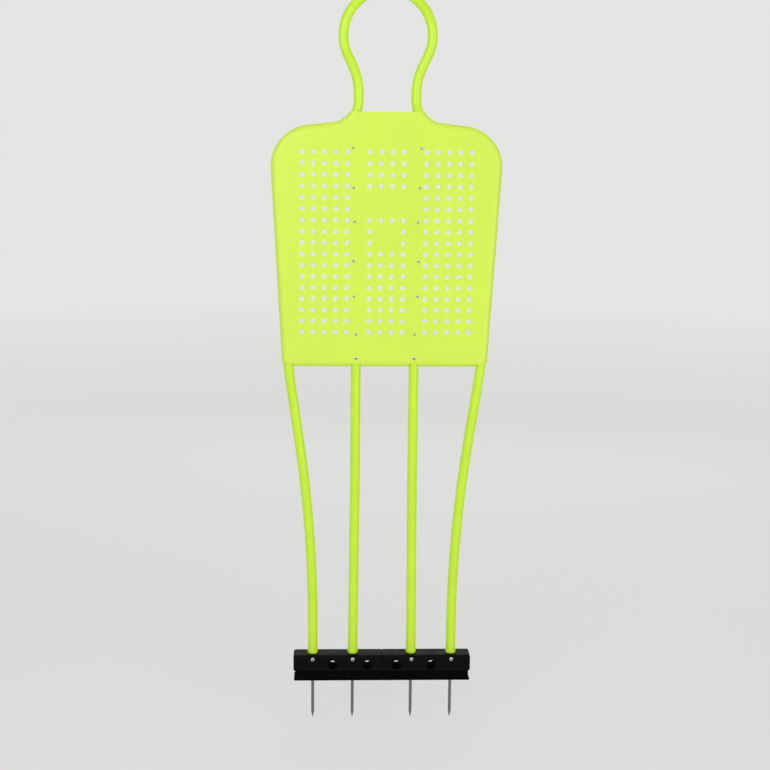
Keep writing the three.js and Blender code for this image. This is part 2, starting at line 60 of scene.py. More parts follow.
ACROSS = Vector((1.0, 0.0, 0.0))
BACK = Vector((0.0, 1.0, 0.0))
UP = Vector((0.0, 0.0, 1.0))
WELD = 1e-6
GOLDEN_TURN = math.pi * (3.0 - math.sqrt(5.0))
DRILL_SIDES = 24
TO_FRONT = Matrix.Rotation(math.pi / 2, 4, "X")
UPSIDE_DOWN = Matrix.Rotation(math.pi, 4, "X")

Colour = tuple[float, float, float]
Span = tuple[float, float]
Rings = list[list[Vector]]
Radius = float | Callable[[float], float]
Level = tuple[float, Radius]


class Side(Enum):
    """The figure's two sides, each with the sign of its x."""

    LEFT = -1.0
    RIGHT = 1.0

    @property
    def word(self) -> str:
        """The side's name as the pieces spell it."""
        return self.name.lower()


class Foot(Enum):
    """The four places where a tube stands in the base."""

    OUTER_LEFT = "outer_left"
    INNER_LEFT = "inner_left"
    INNER_RIGHT = "inner_right"
    OUTER_RIGHT = "outer_right"


class Body(Enum):
    """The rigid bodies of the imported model."""

    FRAME = "frame"
    SPIKE_OUTER_LEFT = "spike_outer_left"
    SPIKE_INNER_LEFT = "spike_inner_left"
    SPIKE_INNER_RIGHT = "spike_inner_right"
    SPIKE_OUTER_RIGHT = "spike_outer_right"


class Slot(Enum):
    """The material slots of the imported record."""

    TUBE_PAINT = "tube_paint"
    PANEL_PLASTIC = "panel_plastic"
    BASE_PLASTIC = "base_plastic"
    SOLE_PLASTIC = "sole_plastic"
    ZINC_STEEL = "zinc_steel"
    SPIKE_STEEL = "spike_steel"


@dataclass
class Skin:
    """The vertices and faces of one piece while it is being made."""

    points: list[Vector] = field(default_factory=list)
    faces: list[tuple[int, ...]] = field(default_factory=list)

    def ring(self, points: Iterable[Vector]) -> list[int]:
        """Add points.

        Args:
            points: The places of the new vertices.

        Returns:
            The vertices' numbers, in the same order.
        """
        start = len(self.points)
        self.points.extend(points)
        return list(range(start, len(self.points)))

    def bridge(self, first: Sequence[int], second: Sequence[int], closed: bool = True) -> None:
        """Join two rows of vertices with four-sided faces.

        Args:
            first: Vertex numbers of one row.
            second: As many vertex numbers of the other row.
            closed: Whether the rows run all the way round.
        """
        count = len(first)
        for i in range(count if closed else count - 1):
            j = (i + 1) % count
            self.faces.append((first[i], first[j], second[j], second[i]))

    def bridge_all(self, rings: Sequence[Sequence[int]]) -> None:
        """Join each closed row of vertices to the next."""
        for first, second in zip(rings, rings[1:]):
            self.bridge(first, second)

    def cap(self, ring: Sequence[int]) -> None:
        """Close a ring of vertices with one face."""
        self.faces.append(tuple(ring))

    def add(self, other: "Skin", place: Matrix | None = None) -> "Skin":
        """Add a copy of another skin.

        Args:
            other: The skin to copy in.
            place: Where the copy goes, or None to leave it as it is.

        Returns:
            This skin.
        """
        place = place or Matrix.Identity(4)
        start = len(self.points)
        self.points.extend(place @ point for point in other.points)
        self.faces.extend(tuple(start + i for i in face) for face in other.faces)
        return self

    def mesh(self, name: str) -> bpy.types.Mesh:
        """Make a closed mesh whose faces point out.

        Args:
            name: The mesh's name.

        Returns:
            The new mesh.
        """
        mesh = bpy.data.meshes.new(name)
        mesh.from_pydata(self.points, [], self.faces)
        form = bmesh.new()
        form.from_mesh(mesh)
        bmesh.ops.remove_doubles(form, verts=form.verts, dist=WELD)
        bmesh.ops.dissolve_degenerate(form, edges=form.edges, dist=WELD)
        bmesh.ops.recalc_face_normals(form, faces=form.faces)
        form.to_mesh(mesh)
        form.free()
        return mesh


@dataclass(frozen=True)
class Corner:
    """A corner of a tube's centre line before it is bent.

    Attributes:
        across: Distance from the figure's middle.
        height: Height above the base's underside.
        bend: Radius of the bend that rounds the corner, zero at an end.
    """

    across: float
    height: float
    bend: float = 0.0

    def mirrored(self) -> "Corner":
        """The same corner on the figure's other side."""
        return Corner(-self.across, self.height, self.bend)


@dataclass(frozen=True)
class Station:
    """A place on a centre line.

    Attributes:
        point: Where it is.
        along: Which way the line runs there.
        distance: How far along the line it lies.
    """

    point: Vector
    along: Vector
    distance: float

    @property
    def outward(self) -> Vector:
        """The direction square to the line, in the figure's upright plane."""
        return Vector((self.along.z, 0.0, -self.along.x))


class BentPath:
    """A centre line of straight runs joined by round bends, in the figure's upright plane."""

    bend_step: float = math.radians(2.5)
    least_steps: int = 8

    def __init__(self, corners: Sequence[Corner]) -> None:
        """Lay the line.

        Args:
            corners: The line's ends and corners, in order.
        """
        self.stations: list[Station] = []
        places = [Vector((corner.across, 0.0, corner.height)) for corner in corners]
        self._put(places[0], (places[1] - places[0]).normalized())
        for before, at, after, corner in zip(places, places[1:], places[2:], corners[1:]):
            self._bend((at - before).normalized(), at, (after - at).normalized(), corner.bend)
        self._put(places[-1], (places[-1] - places[-2]).normalized())

    def _put(self, point: Vector, along: Vector) -> None:
        """Add a station at the line's end."""
        distance = 0.0
        if self.stations:
            last = self.stations[-1]
            distance = last.distance + (point - last.point).length
        self.stations.append(Station(point, along, distance))

    def _bend(self, incoming: Vector, at: Vector, outgoing: Vector, radius: float) -> None:
        """Round one corner with an arc.

        Args:
            incoming: Direction of the run before the corner.
            at: The corner.
            outgoing: Direction of the run after it.
            radius: The arc's radius.
        """
        turn = math.atan2(incoming.z * outgoing.x - incoming.x * outgoing.z, incoming.dot(outgoing))
        start = at - incoming * radius * math.tan(abs(turn) / 2)
        side = Vector((incoming.z, 0.0, -incoming.x)) * math.copysign(1.0, turn)
        centre = start + side * radius
        steps = max(math.ceil(abs(turn) / self.bend_step), self.least_steps)
        for step in range(steps + 1):
            spin = Matrix.Rotation(turn * step / steps, 3, "Y")
            self._put(centre + spin @ (start - centre), spin @ incoming)

    def at_distance(self, distance: float) -> Station:
        """The station at a distance along the line.

        Args:
            distance: How far along the line, from its start.

        Returns:
            A station on the run or arc there.
        """
        for before, after in zip(self.stations, self.stations[1:]):
            if after.distance >= distance:
                share = (distance - before.distance) / max(after.distance - before.distance, WELD)
                point = before.point.lerp(after.point, share)
                return Station(point, before.along.lerp(after.along, share).normalized(), distance)
        return self.stations[-1]

    def at_height(self, height: float) -> Station:
        """The first station at a height, counted from the line's start."""
        for before, after in zip(self.stations, self.stations[1:]):
            if after.point.z > height:
                share = (height - before.point.z) / (after.point.z - before.point.z)
                return self.at_distance(before.distance + share * (after.distance - before.distance))
        return self.stations[-1]

    def with_distances(self, distances: Iterable[float]) -> list[Station]:
        """The line's stations with more of them put in.

        Args:
            distances: Where along the line the new ones go.

        Returns:
            All stations in order.
        """
        added = [self.at_distance(distance) for distance in distances]
        return sorted([*self.stations, *added], key=lambda station: station.distance)

    def clear_of(self, point: Vector) -> float:
        """How far a point is from the line."""
        nearest = math.inf
        for before, after in zip(self.stations, self.stations[1:]):
            on_line, share = intersect_point_line(point, before.point, after.point)
            on_run = before.point.lerp(after.point, min(max(share, 0.0), 1.0))
            nearest = min(nearest, (point - on_run).length)
        return nearest


def turns(count: int) -> list[float]:
    """Angles evenly spaced round a full turn."""
    return [math.tau * i / count for i in range(count)]


def quarter_turns(steps: int) -> list[float]:
    """Angles from none to a right angle, in equal steps."""
    return [math.pi / 2 * step / steps for step in range(steps + 1)]


def circle(radius: float, count: int) -> list[tuple[float, float]]:
    """Points evenly spaced round a circle."""
    return [(radius * math.cos(turn), radius * math.sin(turn)) for turn in turns(count)]


def moved(x: float, z: float = 0.0) -> Matrix:
    """A move across the figure and up."""
    return Matrix.Translation((x, 0.0, z))


def middle_of(node: str) -> Vector:
    """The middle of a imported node."""
    low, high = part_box(node)
    return (low + high) / 2


def swept_rings(stations: Sequence[Station], radius_at: Callable[[Station], float], sides: int) -> Rings:
    """Rings of points round a centre line.

    Args:
        stations: Where the rings go.
        radius_at: Gives each ring's radius.
        sides: Points in a ring.

    Returns:
        One list of points for each station.
    """
    rings = []
    for station in stations:
        radius = radius_at(station)
        rings.append([
            station.point + (station.outward * math.cos(turn) + BACK * math.sin(turn)) * radius
            for turn in turns(sides)
        ])
    return rings


def turned(levels: Sequence[Level], sides: int) -> Skin:
    """A solid turned about its own Z axis.

    Args:
        levels: Heights and radii, from one end to the other. A radius may be a function of the angle.
        sides: Points in a ring.

    Returns:
        The closed skin.
    """
    skin = Skin()
    rings = []
    for height, radius in levels:
        around = [radius(turn) if callable(radius) else radius for turn in turns(sides)]
        rings.append(skin.ring(
            Vector((reach * math.cos(turn), reach * math.sin(turn), height))
            for turn, reach in zip(turns(sides), around)
        ))
    skin.bridge_all(rings)
    for ring, (_, radius) in ((rings[0], levels[0]), (rings[-1], levels[-1])):
        if callable(radius) or radius > WELD:
            skin.cap(ring)
    return skin


def drill(radius: float, length: float) -> Skin:
    """The cutter of a plain hole, from the origin up the Z axis."""
    return turned([(0.0, radius), (length, radius)], DRILL_SIDES)


def rounded_outline(
    half_width: float, low: float, high: float, top_radius: float, under_radius: float, steps: int = 6
) -> list[tuple[float, float]]:
    """A rectangle with rounded corners.

    Args:
        half_width: Half of its width.
        low: Its lower edge.
        high: Its upper edge.
        top_radius: Radius of the two upper corners.
        under_radius: Radius of the two lower corners.
        steps: Steps in each corner.

    Returns:
        Its points, one way round.
    """
    corners = (
        (half_width - top_radius, high - top_radius, top_radius, 0.0),
        (top_radius - half_width, high - top_radius, top_radius, 0.25),
        (under_radius - half_width, low + under_radius, under_radius, 0.5),
        (half_width - under_radius, low + under_radius, under_radius, 0.75),
    )
    points = []
    for across, height, radius, start in corners:
        for step in range(steps + 1):
            turn = math.tau * (start + 0.25 * step / steps)
            points.append((across + radius * math.cos(turn), height + radius * math.sin(turn)))
    return points


def lofted(sections: Sequence[Sequence[Vector]]) -> Skin:
    """A solid through sections that have as many points each, capped at both ends."""
    skin = Skin()
    rings = [skin.ring(section) for section in sections]
    skin.bridge_all(rings)
    skin.cap(rings[0])
    skin.cap(rings[-1])
    return skin


def combined(mesh: bpy.types.Mesh, tool: Skin, operation: str) -> bpy.types.Mesh:
    """A mesh with a solid cut from it or joined to it.

    Args:
        mesh: The mesh to work on, which is used up.
        tool: The cutting or added solid.
        operation: DIFFERENCE or UNION.

    Returns:
        The new mesh, with the old one's name.
    """
    name = mesh.name
    worked = bpy.data.objects.new("worked", mesh)
    cutter = bpy.data.objects.new("cutter", tool.mesh("cutter"))
    for item in (worked, cutter):
        bpy.context.scene.collection.objects.link(item)
    step = worked.modifiers.new("step", "BOOLEAN")
    step.operation = operation
    step.solver = "MANIFOLD"
    step.object = cutter
    graph = bpy.context.evaluated_depsgraph_get()
    result = bpy.data.meshes.new_from_object(worked.evaluated_get(graph))
    for item in (worked, cutter):
        old = item.data
        bpy.data.objects.remove(item)
        bpy.data.meshes.remove(old)
    result.name = name
    return result


def cut(mesh: bpy.types.Mesh, tool: Skin) -> bpy.types.Mesh:
    """A mesh with a solid cut from it."""
    return combined(mesh, tool, "DIFFERENCE")


def joined(mesh: bpy.types.Mesh, tool: Skin) -> bpy.types.Mesh:
    """A mesh with a solid joined to it."""
    return combined(mesh, tool, "UNION")


def hollow(outer: Sequence[Sequence[Vector]], bore: Sequence[Sequence[Vector]]) -> Skin:
    """A tube with open ends.

    Args:
        outer: Rings of its outside.
        bore: As many rings of its bore.

    Returns:
        The closed skin of the tube's wall.
    """
    skin = Skin()
    outside = [skin.ring(points) for points in outer]
    inside = [skin.ring(points) for points in bore]
    skin.bridge_all(outside)
    skin.bridge_all(inside)
    skin.bridge(outside[0], inside[0])
    skin.bridge(outside[-1], inside[-1])
    return skin


def mirrored_to(mesh: bpy.types.Mesh, side: Side) -> bpy.types.Mesh:
    """A mesh of the right side, mirrored in place if it is wanted on the left.

    Args:
        mesh: The mesh, modelled on the right.
        side: Where it is wanted.

    Returns:
        The same mesh.
    """
    if side is Side.LEFT:
        mesh.transform(Matrix.Scale(-1.0, 4, ACROSS))
        mesh.flip_normals()
    return mesh


class Bench:
    """Adds nodes to one tree and links them."""

    column_width: float = 190.0

    def __init__(self, tree: bpy.types.NodeTree) -> None:
        """Start with a tree's nodes as they are."""
        self.tree = tree

    def add(self, kind: str, values: dict[str | int, Any] | None = None, **settings: Any) -> bpy.types.Node:
        """Add a node.

        Args:
            kind: The node's type.
            values: Each input's value, or the output that feeds it.
            **settings: Attributes of the node itself.

        Returns:
            The new node.
        """
        node = self.tree.nodes.new(kind)
        node.location = (self.column_width * len(self.tree.nodes), 0.0)
        for setting, value in settings.items():
            setattr(node, setting, value)
        self.fill(node, values or {})
        return node

    def fill(self, node: bpy.types.Node, values: dict[str | int, Any]) -> None:
        """Set or link a node's inputs.

        Args:
            node: The node.
            values: Each input's value, or the output that feeds it.
        """
        for socket, value in values.items():
            if isinstance(value, bpy.types.NodeSocket):
                self.tree.links.new(value, node.inputs[socket])
            else:
                node.inputs[socket].default_value = value

    def math(self, operation: str, *values: Any) -> bpy.types.NodeSocket:
        """The result of a Math node on one or two values."""
        return self.add("ShaderNodeMath", dict(enumerate(values)), operation=operation).outputs[0]

    def spread(self, value: Any, low: float, high: float, to_low: Any, to_high: Any) -> bpy.types.NodeSocket:
        """A value stretched from one range to another, and held inside it."""
        values = {0: value, 1: low, 2: high, 3: to_low, 4: to_high}
        return self.add("ShaderNodeMapRange", values).outputs[0]

    def place(self) -> bpy.types.NodeSocket:
        """Where a point is on its own piece."""
        return self.add("ShaderNodeTexCoord").outputs["Object"]

    def noise(self, where: Any, size: Any, detail: float) -> bpy.types.NodeSocket:
        """Soft noise whose patches are about a size across."""
        scale = self.math("DIVIDE", 1.0, size)
        return self.add("ShaderNodeTexNoise", {"Vector": where, "Scale": scale, "Detail": detail}).outputs[0]

    def bump(self, height: Any, depth: float, strength: float) -> bpy.types.NodeSocket:
        """The normal of a surface in relief."""
        values = {"Height": height, "Distance": depth, "Strength": strength}
        return self.add("ShaderNodeBump", values).outputs[0]

    def mixed(self, share: Any, first: Any, second: Any) -> bpy.types.NodeSocket:
        """Mix two colours.

        Args:
            share: How much of the second colour goes in.
            first: One colour, as three values or an output.
            second: The other colour.

        Returns:
            The mixed colour.
        """
        values = {0: share}
        for socket, colour in ((6, first), (7, second)):
            values[socket] = (*colour, 1.0) if isinstance(colour, tuple) else colour
        return self.add("ShaderNodeMix", values, data_type="RGBA").outputs[2]


class Effect:
    """A shader effect that several finishes share, kept as one node group."""

    title: str = ""
    inputs: tuple[tuple[str, str, Any], ...] = ()
    outputs: tuple[tuple[str, str], ...] = ()

    @classmethod
    def tree(cls) -> bpy.types.NodeTree:
        """The effect's node group, built when it is first asked for."""
        made = bpy.data.node_groups.get(cls.title)
        if made is None:
            made = bpy.data.node_groups.new(cls.title, "ShaderNodeTree")
            for name, kind, value in cls.inputs:
                made.interface.new_socket(name, in_out="INPUT", socket_type=kind).default_value = value
            for name, kind in cls.outputs:
                made.interface.new_socket(name, in_out="OUTPUT", socket_type=kind)
            bench = Bench(made)
            results = cls.lay(bench, bench.add("NodeGroupInput").outputs)
            bench.add("NodeGroupOutput", results)
        return made

    @classmethod
    def lay(cls, bench: Bench, given: Any) -> dict[str | int, bpy.types.NodeSocket]:
        """Lay the effect's nodes.

        Args:
            bench: Where the nodes go.
            given: The group's inputs, by name.

        Returns:
            What feeds each of the group's outputs.
        """
        raise NotImplementedError

    @classmethod
    def on(cls, bench: Bench, values: dict[str | int, Any]) -> Any:
        """Place the effect in a material.

        Args:
            bench: The material's bench.
            values: The values of the effect's inputs.

        Returns:
            The effect's outputs, by name.
        """
        return bench.add("ShaderNodeGroup", values, node_tree=cls.tree()).outputs


class Mottle(Effect):
    """Soft patches of a slightly lighter and darker shade."""

    title = "soft_mottle"
    inputs = (
        ("Color", "NodeSocketColor", (0.5, 0.5, 0.5, 1.0)),
        ("Patch Size", "NodeSocketFloat", 0.05),
        ("Amount", "NodeSocketFloat", 0.1),
    )
    outputs = (("Color", "NodeSocketColor"), ("Patches", "NodeSocketFloat"))
    detail = 4.0
    noise_span: Span = (0.3, 0.7)

    @classmethod
    def lay(cls, bench: Bench, given: Any) -> dict[str | int, bpy.types.NodeSocket]:
        """Lay noise that shifts the colour's value. Args and Returns as in Effect.lay."""
        noise = bench.noise(bench.place(), given["Patch Size"], cls.detail)
        patches = bench.spread(noise, *cls.noise_span, 0.0, 1.0)
        shift = bench.math("MULTIPLY", bench.math("SUBTRACT", patches, 0.5), given["Amount"])
        value = bench.math("ADD", shift, 1.0)
        shade = bench.add("ShaderNodeHueSaturation", {"Color": given["Color"], "Value": value})
        return {"Color": shade.outputs[0], "Patches": patches}


class Grain(Effect):
    """A fine moulded or sprayed surface, as a height."""

    title = "fine_grain"
    inputs = (
        ("Grain Size", "NodeSocketFloat", 0.001),
        ("Pebble Share", "NodeSocketFloat", 0.4),
    )
    outputs = (("Height", "NodeSocketFloat"),)
    detail = 2.0

    @classmethod
    def lay(cls, bench: Bench, given: Any) -> dict[str | int, bpy.types.NodeSocket]:
        """Lay noise mixed with rounded cells. Args and Returns as in Effect.lay."""
        place = bench.place()
        noise = bench.noise(place, given["Grain Size"], cls.detail)
        scale = bench.math("DIVIDE", 1.0, given["Grain Size"])
        cells = bench.add("ShaderNodeTexVoronoi", {"Vector": place, "Scale": scale}, feature="SMOOTH_F1")
        pebbles = bench.math("MULTIPLY", cells.outputs["Distance"], given["Pebble Share"])
        return {"Height": bench.math("SUBTRACT", noise, pebbles)}


class EdgeWear(Effect):
    """A broken mask along the edges of a piece."""

    title = "edge_wear"
    inputs = (
        ("Width", "NodeSocketFloat", 0.0008),
        ("Break Up", "NodeSocketFloat", 0.006),
    )
    outputs = (("Mask", "NodeSocketFloat"),)
    detail = 3.0
    bevel_samples = 4
    edge_span: Span = (0.99, 0.85)
    broken_span: Span = (0.35, 0.65)

    @classmethod
    def lay(cls, bench: Bench, given: Any) -> dict[str | int, bpy.types.NodeSocket]:
        """Lay a rounded normal set against the true one. Args and Returns as in Effect.lay."""
        rounded = bench.add("ShaderNodeBevel", {"Radius": given["Width"]}, samples=cls.bevel_samples)
        true = bench.add("ShaderNodeNewGeometry")
        normals = {0: rounded.outputs[0], 1: true.outputs["Normal"]}
        agree = bench.add("ShaderNodeVectorMath", normals, operation="DOT_PRODUCT")
        edge = bench.spread(agree.outputs["Value"], *cls.edge_span, 0.0, 1.0)
        noise = bench.noise(bench.place(), given["Break Up"], cls.detail)
        broken = bench.spread(noise, *cls.broken_span, 0.0, 1.0)
        return {"Mask": bench.math("MULTIPLY", edge, broken)}


class GroundDustAndShade(Effect):
    """A patchy mask that thins out upwards from a height: real dust on the paint and the black plastic, and
    painted shade low down on the plated steel.
    """

    title = "ground_dust_and_shade"
    inputs = (
        ("From Height", "NodeSocketFloat", 0.0),
        ("Reach", "NodeSocketFloat", 0.1),
        ("Patch Size", "NodeSocketFloat", 0.01),
    )
    outputs = (("Mask", "NodeSocketFloat"),)
    detail = 5.0
    patch_span: Span = (0.38, 0.72)

    @classmethod
    def lay(cls, bench: Bench, given: Any) -> dict[str | int, bpy.types.NodeSocket]:
        """Lay a fade over height, broken by noise. Args and Returns as in Effect.lay."""
        where = bench.add("ShaderNodeNewGeometry").outputs["Position"]
        height = bench.add("ShaderNodeSeparateXYZ", {0: where}).outputs["Z"]
        top = bench.math("ADD", given["From Height"], given["Reach"])
        fade = bench.spread(height, given["From Height"], top, 1.0, 0.0)
        noise = bench.noise(where, given["Patch Size"], cls.detail)
        return {"Mask": bench.math("MULTIPLY", fade, bench.spread(noise, *cls.patch_span, 0.0, 1.0))}


class HollowMask(Effect):
    """A mask that is nothing on open faces and one deep inside a piece's own holes and recesses, with which
    the finishes paint shade there.
    """

    title = "hollow_mask"
    inputs = (("Reach", "NodeSocketFloat", 0.01),)
    outputs = (("Mask", "NodeSocketFloat"),)
    samples = 8
    open_span: Span = (0.85, 0.45)

    @classmethod
    def lay(cls, bench: Bench, given: Any) -> dict[str | int, bpy.types.NodeSocket]:
        """Lay a measure of how open a point lies. Args and Returns as in Effect.lay."""
        values = {"Distance": given["Reach"]}
        openness = bench.add("ShaderNodeAmbientOcclusion", values, samples=cls.samples, only_local=True)
        return {"Mask": bench.spread(openness.outputs["AO"], *cls.open_span, 0.0, 1.0)}


def new_material(title: str) -> tuple[bpy.types.Material, Bench, bpy.types.Node]:
    """An empty node material.

    Args:
        title: The material's name.

    Returns:
        The material, a bench for its nodes, and its Principled shader, already linked to the output.
    """
    material = bpy.data.materials.new(title)
    material.use_nodes = True
    tree = material.node_tree
    tree.nodes.clear()
    bench = Bench(tree)
    shader = bench.add("ShaderNodeBsdfPrincipled")
    bench.add("ShaderNodeOutputMaterial", {0: shader.outputs[0]})
    return material, bench, shader


@dataclass(frozen=True)
class Finish:
    """A colour and a gloss that vary a little from patch to patch.

    Attributes:
        title: The material's name.
        colour: The colour.
        patch_size: How far across the patches are.
        shade_amount: How much lighter or darker they are.
        gloss_roughness: Roughness of the glossiest patches.
        dull_roughness: Roughness of the dullest patches.
    """

    title: str
    colour: Colour
    patch_size: float
    shade_amount: float
    gloss_roughness: float
    dull_roughness: float

    def mottle(self, bench: Bench) -> Any:
        """The shaded colour and the patches, as the outputs of an effect."""
        values = {"Color": (*self.colour, 1.0), "Patch Size": self.patch_size, "Amount": self.shade_amount}
        return Mottle.on(bench, values)

    def gloss(self, bench: Bench, patches: Any, low: float = 0.0, high: float = 1.0) -> bpy.types.NodeSocket:
        """The roughness, from patches that run between two values."""
        return bench.spread(patches, low, high, self.gloss_roughness, self.dull_roughness)


@dataclass(frozen=True)
class PowderCoat(Finish):
    """Fluorescent powder coat on steel tube: smooth, with a fine orange peel and a little dust low down."""

    title: str = "powder_coat"
    colour: Colour = (0.6, 0.9, 0.035)
    dust_colour: Colour = (0.36, 0.4, 0.13)
    patch_size: float = 0.06
    shade_amount: float = 0.07
    peel_size: float = 0.0026
    peel_depth: float = 0.00003
    peel_pebbles: float = 0.3
    peel_strength: float = 0.6
    gloss_roughness: float = 0.3
    dull_roughness: float = 0.38
    shine: float = 0.25
    coat: float = 0.25
    coat_roughness: float = 0.12
    dust_from: float = 0.066
    dust_reach: float = 0.05
    dust_patch: float = 0.004
    dust_share: float = 0.15
    dust_roughness: float = 0.3

    def material(self) -> bpy.types.Material:
        """Build the material."""
        material, bench, shader = new_material(self.title)
        shade = self.mottle(bench)
        values = {"From Height": self.dust_from, "Reach": self.dust_reach, "Patch Size": self.dust_patch}
        dust = GroundDustAndShade.on(bench, values)["Mask"]
        dusty = bench.math("MULTIPLY", dust, self.dust_share)
        dulled = bench.math("MULTIPLY", dust, self.dust_roughness)
        peel = Grain.on(bench, {"Grain Size": self.peel_size, "Pebble Share": self.peel_pebbles})["Height"]
        bench.fill(shader, {
            "Base Color": bench.mixed(dusty, shade["Color"], self.dust_colour),
            "Roughness": bench.math("ADD", self.gloss(bench, shade["Patches"]), dulled),
            "Normal": bench.bump(peel, self.peel_depth, self.peel_strength),
            "Specular IOR Level": self.shine,
            "Coat Weight": self.coat,
            "Coat Roughness": self.coat_roughness,
        })
        return material


@dataclass(frozen=True)
class FormedSheet(Finish):
    """The torso's fluorescent plastic sheet: satin, pebbled, with draw streaks and paler cut edges."""

    title: str = "formed_sheet"
    colour: Colour = (0.672, 0.896, 0.075)
    edge_colour: Colour = (0.78, 0.93, 0.3)
    edge_width: float = 0.0005
    edge_break_up: float = 0.01
    edge_share: float = 0.35
    patch_size: float = 0.18
    shade_amount: float = 0.04
    pebble_size: float = 0.0011
    pebble_share: float = 0.5
    pebble_depth: float = 0.00005
    pebble_strength: float = 0.6
    streak_width: float = 0.012
    streak_squash: float = 0.08
    streak_span: Span = (0.3, 0.7)
    gloss_roughness: float = 0.36
    dull_roughness: float = 0.46

    def material(self) -> bpy.types.Material:
        """Build the material."""
        material, bench, shader = new_material(self.title)
        shade = self.mottle(bench)
        edge = EdgeWear.on(bench, {"Width": self.edge_width, "Break Up": self.edge_break_up})["Mask"]
        paler = bench.math("MULTIPLY", edge, self.edge_share)
        drawn = bench.add("ShaderNodeMapping", {0: bench.place(), 3: (1.0, 1.0, self.streak_squash)})
        values = {"Vector": drawn.outputs[0], "Scale": 1.0 / self.streak_width}
        streaks = bench.add("ShaderNodeTexNoise", values).outputs[0]
        values = {"Grain Size": self.pebble_size, "Pebble Share": self.pebble_share}
        pebbles = Grain.on(bench, values)["Height"]
        bench.fill(shader, {
            "Base Color": bench.mixed(paler, shade["Color"], self.edge_colour),
            "Roughness": self.gloss(bench, streaks, *self.streak_span),
            "Normal": bench.bump(pebbles, self.pebble_depth, self.pebble_strength),
        })
        return material


@dataclass(frozen=True)
class MouldedPlastic(Finish):
    """Black moulded plastic: fine spark-eroded grain, scuffed edges, matt holes darkened with painted shade,
    and a trace of dust.
    """

    title: str
    colour: Colour = (0.0045, 0.0045, 0.004)
    scuff_colour: Colour = (0.03, 0.03, 0.028)
    dust_colour: Colour = (0.06, 0.058, 0.045)
    patch_size: float = 0.03
    shade_amount: float = 0.3
    grain_size: float = 0.0007
    grain_pebbles: float = 0.7
    grain_depth: float = 0.00006
    grain_strength: float = 0.7
    gloss_roughness: float = 0.42
    dull_roughness: float = 0.56
    shine: float = 0.032
    # Painted shade: the colour deep inside the holes and recesses.
    hollow_shade_colour: Colour = (0.0008, 0.0008, 0.0008)
    hollow_reach: float = 0.04
    hollow_roughness: float = 1.0
    scuff_width: float = 0.0009
    scuff_break_up: float = 0.004
    scuff_share: float = 0.5
    dust_share: float = 0.12
    dust_reach: float = 0.05
    dust_patch: float = 0.006
    dust_roughness: float = 0.4

    def material(self) -> bpy.types.Material:
        """Build the material."""
        material, bench, shader = new_material(self.title)
        shade = self.mottle(bench)
        scuff = EdgeWear.on(bench, {"Width": self.scuff_width, "Break Up": self.scuff_break_up})["Mask"]
        scuff_share = bench.math("MULTIPLY", scuff, self.scuff_share)
        scuffed = bench.mixed(scuff_share, shade["Color"], self.scuff_colour)
        values = {"From Height": 0.0, "Reach": self.dust_reach, "Patch Size": self.dust_patch}
        dusty = bench.math("MULTIPLY", GroundDustAndShade.on(bench, values)["Mask"], self.dust_share)
        faces = bench.mixed(dusty, scuffed, self.dust_colour)
        dulled = bench.math("MULTIPLY", dusty, self.dust_roughness)
        faces_roughness = bench.math("ADD", self.gloss(bench, shade["Patches"]), dulled)
        hollow = HollowMask.on(bench, {"Reach": self.hollow_reach})["Mask"]
        values = {"Grain Size": self.grain_size, "Pebble Share": self.grain_pebbles}
        grain = Grain.on(bench, values)["Height"]
        bench.fill(shader, {
            # Painted shade: the colour darkens deep in holes and recesses, where shade falls; the roughness
            # rises there too.
            "Base Color": bench.mixed(hollow, faces, self.hollow_shade_colour),
            "Roughness": bench.spread(hollow, 0.0, 1.0, faces_roughness, self.hollow_roughness),
            "Normal": bench.bump(grain, self.grain_depth, self.grain_strength),
            "Specular IOR Level": self.shine,
        })
        return material


